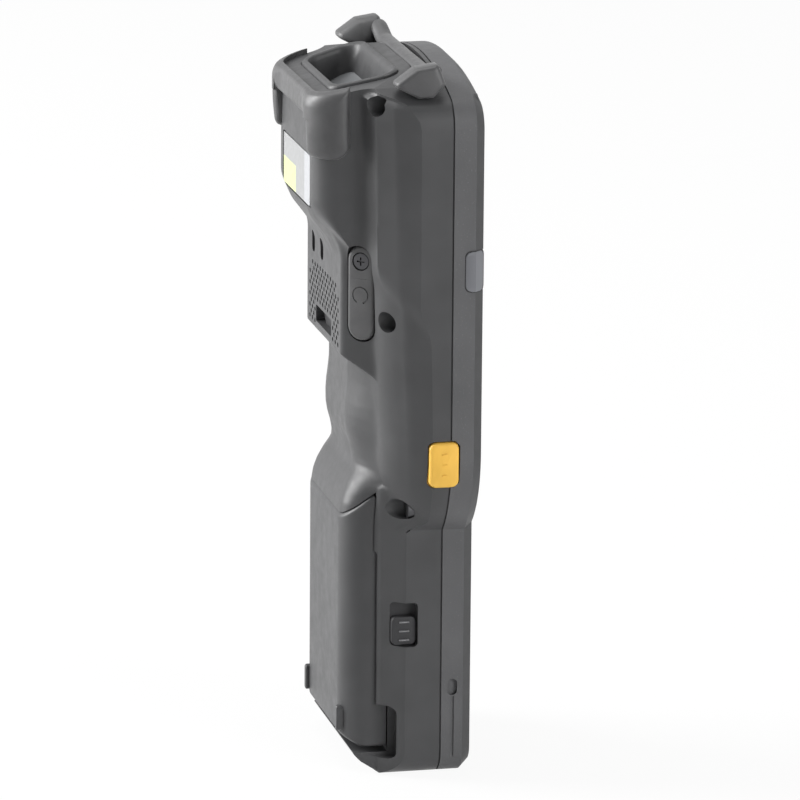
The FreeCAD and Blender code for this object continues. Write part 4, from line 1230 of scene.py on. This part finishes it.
    def front(self) -> None:
        """The front guard: a low round bead behind the window's rim and a horn at each end."""
        section = ring(0, 0, 1, 24) * self.bead_radii + self.bead_middle
        bead = lofted([placed(section + np.array([0, self.bead_rise * ramp(abs(x), *self.bead_rises)]), x, "x")
                       for x in np.linspace(-self.bead_half, self.bead_half, 80)])
        piece = make_piece("front_guard", *joined([bead, self.horn(-1), self.horn(1)]), 60.0)
        self.model.add(piece, GUARD_RUBBER, "bumper_rubber", replaces=("front_bumper",))

    def build(self) -> None:
        """Makes both guards."""
        self.rear()
        self.front()


@dataclass
class ScanHead:
    """Rim of the scan recess, with a rounded lip and walls that lean in to the window.

    Each ring of the lip and the wall gives its inset, the front edge's further inset and its height.
    """

    model: Model
    foot: float = 167.3
    window: float = 178.65
    window_lean: float = math.tan(math.radians(25.0))
    corner: float = 5.0
    tighter: float = 0.45
    least_corner: float = 2.4
    lip: tuple[tuple[float, float, float], ...] = (
        (0.1, 0.0, -0.1), (0.22, 0.0, 0.5), (0.6, 0.0, 0.85), (1.1, 0.0, 0.9), (1.6, 0.0, 0.7), (1.95, 0.05, 0.1),
        (2.15, 0.15, -0.9))
    wall: tuple[tuple[float, float, float], ...] = ((2.9, 1.2, 0.0), (3.0, 1.3, -1.6))

    def outline(self, inset: float, front: float) -> np.ndarray:
        """The recess seen from above at two insets, with corners that grow tighter further in."""
        return recess_outline(inset, front, max(self.corner - self.tighter * inset, self.least_corner))

    def build(self) -> None:
        """Makes the rim from rings: up the outside, over the lip and down the inside.

        Formula: each ring is the recess outline at an inset, at a height over the leaning top or the window plane.
        """
        rings = [placed(self.outline(*self.lip[0][:2]), self.foot, "z")]
        for inset, front, lift in self.lip:
            flat = self.outline(inset, front)
            rings.append(placed(flat, FORM.top(flat[:, 1]) + lift, "z"))
        for inset, front, lift in self.wall:
            flat = self.outline(inset, front)
            rings.append(placed(flat, plane(flat[:, 1], self.window + lift, -self.window_lean, 0), "z"))
        rings.append(placed(flat, self.foot, "z"))
        here = np.arange(len(flat))
        faces = grid_faces(len(rings), len(flat), wrap=True).tolist() + band(here, here + (len(rings) - 1) * len(flat))
        rim = make_piece("scan_rim", np.concatenate(rings), faces, 40.0)
        self.model.add(rim, CHARCOAL, "housing", replaces=("scan_bezel",))


@dataclass
class BatteryPack:
    """Battery case with rounded back corners, a slanted upper end, a swept foot and two rests."""

    model: Model
    half: float = 24.6
    inner: float = 0.8
    tongue: float = 4.3
    tongue_top: float = 70.5
    corner: float = 8.0
    edge: float = 0.9
    foot: float = 7.0
    back_foot: float = 9.5
    foot_rise: float = 0.53
    hollow: Pocket = Pocket(0.0, 39.0, 44.8, 54.0, 2.0, -2.0, 9.2)
    rest_place: tuple[float, float] = (19.1, 13.9)

    def section(self, inset: float) -> np.ndarray:
        """Half of the case's section seen from above, from the inner edge to the middle of the back.

        Args:
            inset: How far the section is drawn in, in mm.

        Returns:
            The places x, y of its points.
        """
        turn = np.linspace(0, math.pi / 2, 22)
        centre = np.array([self.half, FORM.battery_back]) - self.corner
        arc = centre + (self.corner - inset) * np.stack([np.cos(turn), np.sin(turn)], 1)
        side, back = np.linspace(self.inner, centre[1], 7)[:-1], np.linspace(centre[0], 0, 8)[1:]
        side = np.stack([np.full_like(side, self.half - inset), side], 1)
        return np.concatenate([side, arc, np.stack([back, np.full_like(back, FORM.battery_back - inset)], 1)])

    def ends(self, y: np.ndarray) -> tuple[np.ndarray, np.ndarray]:
        """Heights of the lower and the upper end at a depth y: swept foot, and slanted end with its tongue.

        Args:
            y: Depths, in mm.

        Returns:
            The heights of the lower and of the upper end.
        """
        low = np.maximum(self.foot, plane(y, self.back_foot, self.foot_rise, FORM.battery_back))
        return low, np.interp(y, [self.inner, self.tongue, FORM.battery_back],
                              [self.tongue_top, FORM.battery_top(self.tongue), FORM.battery_end])

    def case(self) -> bpy.types.Object:
        """The case: rings of its section, drawn in along a quarter circle at each end.

        Formula: a ring at a share of the quarter turn has the inset edge * (1 - cos) and lies edge * (1 - sin)
        inside the end's height. Each end is closed by strips between the left and the right half.

        Returns:
            The case, hollowed from its inner side.
        """
        rings, quarter = [], np.linspace(0, math.pi / 2, 6)
        for upper, turns in ((False, quarter[::-1]), (True, quarter)):
            for turn in turns:
                half = self.section(self.edge * (1 - math.cos(turn)))
                low, high = self.ends(half[:, 1])
                shift = self.edge * (1 - math.sin(turn))
                level = high - shift if upper else low + shift
                flat = np.concatenate([half, (half * np.array([-1, 1]))[-2::-1]])
                rings.append(placed(flat, np.concatenate([level, level[-2::-1]]), "z"))
        count = len(rings[0])
        i = np.arange(count // 2)
        lids = np.stack([i, i + 1, count - 2 - i, count - 1 - i], 1)[:-1].tolist()
        lids.append([count // 2 - 1, count // 2, count // 2 + 1])
        last = (len(rings) - 1) * count
        faces = grid_faces(len(rings), count, wrap=True).tolist() + lids + [[v + last for v in f[::-1]] for f in lids]
        case = make_piece("battery_pack", np.concatenate(rings), faces, 35.0)
        cut_away(case, self.hollow.shape(), 35.0)
        return case

    def build(self) -> None:
        """Makes the case and its two rests, which ride on the battery."""
        self.model.add(self.case(), CHARCOAL, "housing", "battery", ("battery_case",))
        x, z = self.rest_place
        rests = [pillow(side * x, z, wide=2.3, high=6.9, radius=1.1, foot=9.5, top=13.05, edge=0.5)
                 for side in (-1, 1)]
        self.model.add(make_piece("battery_rests", *joined(rests), 40.0), CHARCOAL, "housing", "battery")


@dataclass
class JackCover:
    """Rubber cover over the headset jack: a screwed end, and a flap with an open ring mark on it.

    The screw's rings and its seat's bores are given as their radius and their level.
    """

    model: Model
    split: float = 132.25
    slit: float = 0.01
    top: float = 141.0
    foot: float = 116.0
    wide: float = 7.5
    thick: float = 3.2
    screw_rings: tuple[tuple[float, float], ...] = ((1.0, -3.0), (1.0, 2.2), (2.2, 2.2), (2.25, 2.7), (2.1, 2.92),
                                                    (1.8, 3.0), (0.9, 3.06), (0.2, 3.08))
    screw_seat: tuple[tuple[float, float], ...] = ((2.4, 2.15), (1.1, -5.0))
    mark_z: float = 128.0
    mark_radii: tuple[float, float] = (2.3, 1.95)
    mark_arc: tuple[float, float] = (-62.0, 250.0)
    cross: tuple[float, float] = (2.2, 0.42)
    cutter: float = 60.0
    crease: float = 35.0

    def cut(self, piece: bpy.types.Object, shape: Shape) -> None:
        """Cuts a shape, drawn in the cover's own axes, out of a piece."""
        cut_away(piece, on_cover(shape), self.crease)

    def half(self, name: str, low: float, high: float) -> bpy.types.Object:
        """The part of the cover's pill between two heights.

        Args:
            name: Name of the piece.
            low: Lower height, in mm.
            high: Upper height.

        Returns:
            The new object.
        """
        pill = pillow(0, (self.top + self.foot) / 2, self.wide, self.top - self.foot, radius=self.wide / 2 - 0.02,
                      foot=0.05, top=self.thick - 0.12, edge=0.9, crown=0.1)
        piece = make_piece(name, *on_cover(pill), self.crease)
        for middle in (low - self.cutter / 2, high + self.cutter / 2):
            self.cut(piece, Pocket(0, middle, 20, self.cutter, 0.01, -5, 9, steps=2).shape())
        return piece

    def ring_mark(self) -> Shape:
        """An open ring, as a closed prism: the outer arc one way and the inner arc back.

        Returns:
            The points and the faces.
        """
        turn = np.radians(np.linspace(*self.mark_arc, 48))
        arc = np.stack([np.cos(turn), np.sin(turn)], 1)
        outer, inner = (radius * arc + np.array([0, self.mark_z]) for radius in self.mark_radii)
        return prism(np.concatenate([outer, inner[::-1]]), self.thick - 0.3, self.thick + 1)

    def screw(self) -> Shape:
        """A cheese-head screw with a rounded rim, from rings of growing level."""
        return lofted([placed(ring(0, FORM.jack_screw_z, radius), level, "y") for radius, level in self.screw_rings])

    def build(self) -> None:
        """Makes the screwed end, the flap on its own body, and the screw with its cross recess."""
        anchor = self.half("jack_cover_end", self.split + self.slit, 150.0)
        for radius, floor in self.screw_seat:
            self.cut(anchor, prism(ring(0, FORM.jack_screw_z, radius), floor, 9.0))
        self.model.add(anchor, COVER_RUBBER, "cover_rubber", replaces=("jack_cover_anchor",))
        flap = self.half("jack_flap_cover", 100.0, self.split - self.slit)
        self.cut(flap, self.ring_mark())
        self.model.add(flap, COVER_RUBBER, "cover_rubber", "jack_flap", ("jack_cover_flap",))
        screw = make_piece("jack_screw", *on_cover(self.screw()), self.crease)
        for size in (self.cross, self.cross[::-1]):
            self.cut(screw, Pocket(0, FORM.jack_screw_z, *size, 0.1, 2.5, 5.0).shape())
        self.model.add(screw, SCREW_STEEL, "screw_steel", replaces=("jack_cover_screw",))


@dataclass
class SideControls:
    """Amber scan keys and battery release sliders, one of each in both flanks."""

    model: Model
    key_face: float = 41.0
    tick_face: float = 41.44
    ticks: tuple[float, ...] = (3.0, 0.2, -2.6)
    slider_z: float = 39.5
    grips: tuple[float, ...] = (-2.4, 0.0, 2.4)

    def key(self, side: Side) -> None:
        """A scan key: lip behind the wall, cushioned cap and three small raised ticks.

        Args:
            side: Flank that it is on.
        """
        x, name, y, z = side.value, side.name.lower(), FORM.key_y, FORM.key_z
        lip = Pocket(y, z, 9.2, 13.4, 2.4, 37.45, 38.1, "x").shape(x)
        cap = pillow(y, z, 7.7, 11.9, radius=1.9, foot=x * 38.0, top=x * self.key_face, edge=0.95, crown=0.28,
                     axis="x")
        ticks = [pillow(y, z + step, 1.2, 0.4, radius=0.15, foot=x * self.key_face, top=x * self.tick_face, edge=0.12,
                        axis="x") for step in self.ticks]
        piece = make_piece(f"{name}_amber_key", *joined([lip, cap, *ticks]), 40.0)
        self.model.add(piece, AMBER, "amber", f"{name}_scan_key_body", (f"{name}_scan_key",))

    def slider(self, side: Side) -> None:
        """A release slider, a thin dark sheet on the floor of its pocket that stands for painted shade, and the three
        pale grips on it.

        Args:
            side: Flank that it is on.
        """
        x, name, y, z = side.value, side.name.lower(), FORM.slider_y, self.slider_z
        body = pillow(y, z, 6.5, 7.6, radius=1.4, foot=x * 27.9, top=x * 29.85, edge=0.35, crown=0.1, axis="x")
        self.model.add(make_piece(f"{name}_slider", *body, 40.0), DARK_PLASTIC, "dark_plastic", f"{name}_latch_body",
                       (f"{name}_latch",))
        grips = [pillow(y, z + step, 2.7, 0.34, radius=0.15, foot=x * 29.7, top=x * 30.4, edge=0.2, axis="x")
                 for step in self.grips]
        self.model.add(make_piece(f"{name}_slider_grips", *joined(grips), 40.0), WORN_PLASTIC, "dark_plastic",
                       f"{name}_latch_body")
        # A thin dark sheet on the pocket's floor: painted shade of the recess around the slider.
        well = Pocket(y, FORM.well_z, 6.8, 11.7, 1.15, 27.3, 27.72, "x").shape(x)
        self.model.add(make_piece(f"{name}_slider_well", *well, 40.0), DARK_PLASTIC, "dark_plastic")

    def build(self) -> None:
        """Makes the controls of both flanks."""
        for side in Side:
            self.key(side)
            self.slider(side)


@dataclass
class StatusLights:
    """Frosted light guides that wrap from each flank on to the front bevel, each in a thin dark rim."""

    model: Model
    middle: float = 136.5
    high: float = 10.4
    rear: float = -15.5
    front: float = -20.5
    corner: float = 1.7
    hidden: float = 37.6
    bevel_from: float = -18.1
    bevel_slope: float = 0.96
    face: float = 40.72
    rim: float = 0.28
    rim_face: float = 40.5
    chamfer: tuple[float, float] = (0.15, 0.2)
    thick: float = 0.6

    def wrapped(self, side: Side, extra: float, face: float) -> Shape:
        """A slab that lies on the flank and, past its edge, on the bevel, with rounded corners.

        Formula: one section in x and y is carried up, and near both ends its rear and front edges draw together
        along quarter circles.

        Args:
            side: Flank that the light is on.
            extra: Size added all round, in mm.
            face: Distance of the face from the middle plane.

        Returns:
            The points and the faces.
        """
        half, rings = self.high / 2 + extra, []
        for step in np.linspace(-1, 1, 41):
            drawn = quarter_drop(max(abs(step) * half - half + self.corner, 0), self.corner)
            rear, front = self.rear + extra - drawn, self.front - extra + 0.5 * drawn
            low = face - self.bevel_slope * (self.bevel_from - front)
            flat = np.array([[self.hidden, rear], [face - self.chamfer[0], rear], [face, rear - self.chamfer[1]],
                             [face, self.bevel_from], [low, front], [low - self.thick, front]])
            rings.append(placed(flat * np.array([side.value, 1]), self.middle + step * half, "z"))
        return lofted(rings)

    def build(self) -> None:
        """Makes the light and its rim on both flanks."""
        for side in Side:
            name = side.name.lower()
            light = make_piece(f"{name}_status_light", *self.wrapped(side, 0.0, self.face), 40.0)
            self.model.add(light, FROSTED, "lens", replaces=(f"{name}_status_lens",))
            rim = make_piece(f"{name}_status_rim", *self.wrapped(side, self.rim, self.rim_face), 40.0)
            self.model.add(rim, DARK_PLASTIC, "dark_plastic")


@dataclass
class Keypad:
    """Keypad caps with soft edges and a low crown, and plain digits on the number keys."""

    model: Model
    edge_level: float = -21.35
    crown: float = 0.55
    slack: float = 1.4
    lip: float = 1.3
    lip_levels: tuple[float, float] = (-18.7, -18.15)
    cap_foot: float = -18.2
    print_size: float = 5.2
    print_thick: float = 0.04

    def cap(self, node: str) -> None:
        """One key over the box of its CAD node: lip behind the face and crowned cap.

        Args:
            node: Name of the key's CAD node.
        """
        low, high = (np.array(corner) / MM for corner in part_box(node))
        x, _, z = (low + high) / 2
        wide, _, tall = high - low - self.slack
        lip = Pocket(x, z, wide + self.lip, tall + self.lip, 1.2, *self.lip_levels).shape()
        cap = pillow(x, z, wide, tall, radius=min(1.9, tall / 2 - 0.3), foot=self.cap_foot, top=self.edge_level,
                     edge=0.5, crown=self.crown)
        finish, slot = (AMBER, "amber") if node == "key_scan" else (CHARCOAL_KEY, "key_plastic")
        piece = make_piece(f"{node}_cap", *joined([lip, cap]), 40.0)
        self.model.add(piece, finish, slot, f"{node}_body", (node,))
        if node[4:].isdigit():
            self.digit(node, x, z)

    def digit(self, node: str, x: float, z: float) -> None:
        """The key's digit as thin raised print, flat on the crown and read from the keypad side.

        Args:
            node: Name of the key's CAD node, which ends in the digit.
            x: Middle of the key across the terminal, in mm.
            z: Height of its middle.
        """
        text = bpy.data.curves.new(f"{node}_print", "FONT")
        text.body, text.size, text.extrude, text.resolution_u = node[4:], self.print_size, self.print_thick, 3
        text.align_x = text.align_y = "CENTER"
        source = bpy.data.objects.new("print source", text)
        bpy.context.scene.collection.objects.link(source)
        bpy.context.view_layer.update()
        mesh = bpy.data.meshes.new_from_object(source.evaluated_get(bpy.context.evaluated_depsgraph_get()))
        flat = np.empty(len(mesh.vertices) * 3)
        mesh.vertices.foreach_get("co", flat)
        across, up, out = flat.reshape(-1, 3).T
        points = np.stack([x + across, self.edge_level - self.crown * 0.93 - out, z + up], 1)
        piece = make_piece(f"{node}_digit", points, [list(p.vertices) for p in mesh.polygons], 40.0)
        bpy.data.objects.remove(source)
        self.model.add(piece, PRINT, "label", f"{node}_body")

    def build(self) -> None:
        """Makes every keypad cap."""
        for node in sorted(self.model.frame["nodes"]):
            if node.startswith("key_"):
                self.cap(node)


@dataclass
class Studio:
    """Camera at the photograph's angle, soft lamps and a plain white floor.

    Angles are in degrees and places in metres. Each lamp gives its name, place, watts, width and height.
    """

    bearing: float = 12.928
    height_angle: float = 14.084
    roll: float = 0.46
    distance: float = 1.643908
    lens: float = 283.285
    sensor: float = 36.0
    clip: tuple[float, float] = (0.1, 60.0)
    target: tuple[float, float, float] = (0.0, -0.00792, 0.093473)
    lit: tuple[float, float, float] = (0.0, 0.0, 0.1)
    lamps: tuple[tuple, ...] = (("back left", (0.74, 1.36, 0.7), 48.0, 0.8, 1.3),
                                ("front right", (-1.15, -0.9, 0.5), 17.0, 0.8, 1.2),
                                ("overhead", (0.25, 0.2, 1.6), 12.0, 1.0, 1.0))
    ambient: float = 0.1
    floor_half: float = 9000.0
    floor_level: float = -0.02
    floor_tone: float = 0.86
    floor_light: float = 0.93

    def camera(self) -> None:
        """Sets the camera on a long lens, looking at the target from the bearing and height angle."""
        b, e, roll = (math.radians(v) for v in (self.bearing, self.height_angle, self.roll))
        back = Vector((-math.cos(b) * math.cos(e), math.sin(b) * math.cos(e), math.sin(e)))
        right = (-back).cross(Vector((0, 0, 1))).normalized()
        up = right.cross(-back)
        right, up = right * math.cos(roll) + up * math.sin(roll), up * math.cos(roll) - right * math.sin(roll)
        data = bpy.data.cameras.new("camera")
        data.lens, data.sensor_width, data.sensor_fit = self.lens, self.sensor, "HORIZONTAL"
        data.clip_start, data.clip_end = self.clip
        camera = bpy.data.objects.new("camera", data)
        turn = Matrix((right, up, back)).transposed().to_4x4()
        camera.matrix_world = Matrix.Translation(Vector(self.target) + back * self.distance) @ turn
        bpy.context.scene.collection.objects.link(camera)
        bpy.context.scene.camera = camera

    def lamp(self, name: str, place: tuple[float, float, float], power: float, wide: float, high: float) -> None:
        """A soft rectangular lamp that faces the middle of the terminal.

        Args:
            name: Name of the lamp.
            place: Its centre in metres.
            power: Its power in watts.
            wide: Its width in metres.
            high: Its height in metres.
        """
        data = bpy.data.lights.new(name, "AREA")
        data.shape, data.energy, data.size, data.size_y = "RECTANGLE", power, wide, high
        lamp = bpy.data.objects.new(name, data)
        lamp.location = place
        lamp.rotation_euler = (Vector(place) - Vector(self.lit)).to_track_quat("Z", "Y").to_euler()
        bpy.context.scene.collection.objects.link(lamp)

    def white_for_eye(self, nodes: Nodes) -> bpy.types.NodeSocket:
        """A number that is 1 for rays from the camera, from gloss and through glass, else 0.

        Args:
            nodes: The tree to build in.

        Returns:
            The number's socket.
        """
        path = nodes.node("LightPath").outputs
        seen = nodes.math("MAXIMUM", path["Is Camera Ray"], path["Is Glossy Ray"])
        return nodes.math("MAXIMUM", seen, path["Is Transmission Ray"])

    def world(self) -> None:
        """A white surround whose light on the object is plain and even."""
        world = bpy.data.worlds.new("surround")
        world.use_nodes = True
        nodes = Nodes(world.node_tree)
        level = nodes.node("MapRange", {0: self.white_for_eye(nodes), 3: self.ambient, 4: 1.0}).outputs[0]
        nodes.node("OutputWorld", {0: nodes.node("Background", {"Strength": level}).outputs[0]})
        bpy.context.scene.world = world

    def floor(self) -> None:
        """A wide pale floor that shows white and keeps a faint shadow: part of its look is its own even white."""
        far, level = self.floor_half, self.floor_level
        points = np.array([[-far, -far, level], [far, -far, level], [far, far, level], [-far, far, level]])
        floor = make_piece("floor", points, [[0, 1, 2, 3]])
        material = bpy.data.materials.new("pale floor")
        material.use_nodes = True
        nodes = Nodes(material.node_tree)
        matte = nodes.node("BsdfDiffuse", {"Color": (self.floor_tone,) * 3}).outputs[0]
        glow = nodes.node("Emission", {"Strength": 1.0}).outputs[0]
        share = nodes.math("MULTIPLY", self.white_for_eye(nodes), self.floor_light)
        nodes.node("OutputMaterial", {0: nodes.node("MixShader", {0: share, 1: matte, 2: glow}).outputs[0]})
        floor.data.materials.append(material)

    def build(self) -> None:
        """Sets the camera, the lamps, the surround and the floor."""
        self.camera()
        for lamp in self.lamps:
            self.lamp(*lamp)
        self.world()
        self.floor()
        bpy.context.scene.view_settings.view_transform = "Standard"


@dataclass
class Leftovers:
    """CAD nodes whose own shape is right, each with its finish."""

    model: Model

    def build(self) -> None:
        """Gives each kept node its finish."""
        keep = self.model.keep
        keep(CHARCOAL_GRAINED_PAINTED_SHADE, "front_housing")
        keep(CHARCOAL, "battery_cover")
        keep(SCREW_STEEL, "housing_screws")
        keep(SCAN_GLASS, "scan_window")
        keep(DISPLAY_GLASS, "display_window")
        keep(SCREEN, "display_module")
        keep(LABEL, "label_plate")
        keep(DARK_PLASTIC, "battery_contacts", "dock_connector", "jack_socket", "speaker", "scan_engine",
             "side_switches")
        keep(MAT_RUBBER, "keypad_mat")
        keep(BOARD_GREEN, "main_board", "keypad_board")
        keep(ALLOY, "inner_frame")
        keep(TINNED, "processor_shield", "backup_cell", "microphone")
        keep(GOLD, "battery_terminals")
        keep(CELL_WRAP, "battery_cell")


PARTS = (RearShell, RubberGuards, ScanHead, BatteryPack, JackCover, SideControls, StatusLights, Keypad)


def main() -> None:
    """Builds the studio and each sub-assembly in turn."""
    logging.basicConfig(level=logging.INFO, format="%(name)s: %(message)s")
    model = Model(frame)
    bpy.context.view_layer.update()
    Studio().build()
    for part in PARTS:
        LOG.info("making %s", part.__name__)
        part(model).build()
    Leftovers(model).build()


if __name__ == "__main__":
    main()
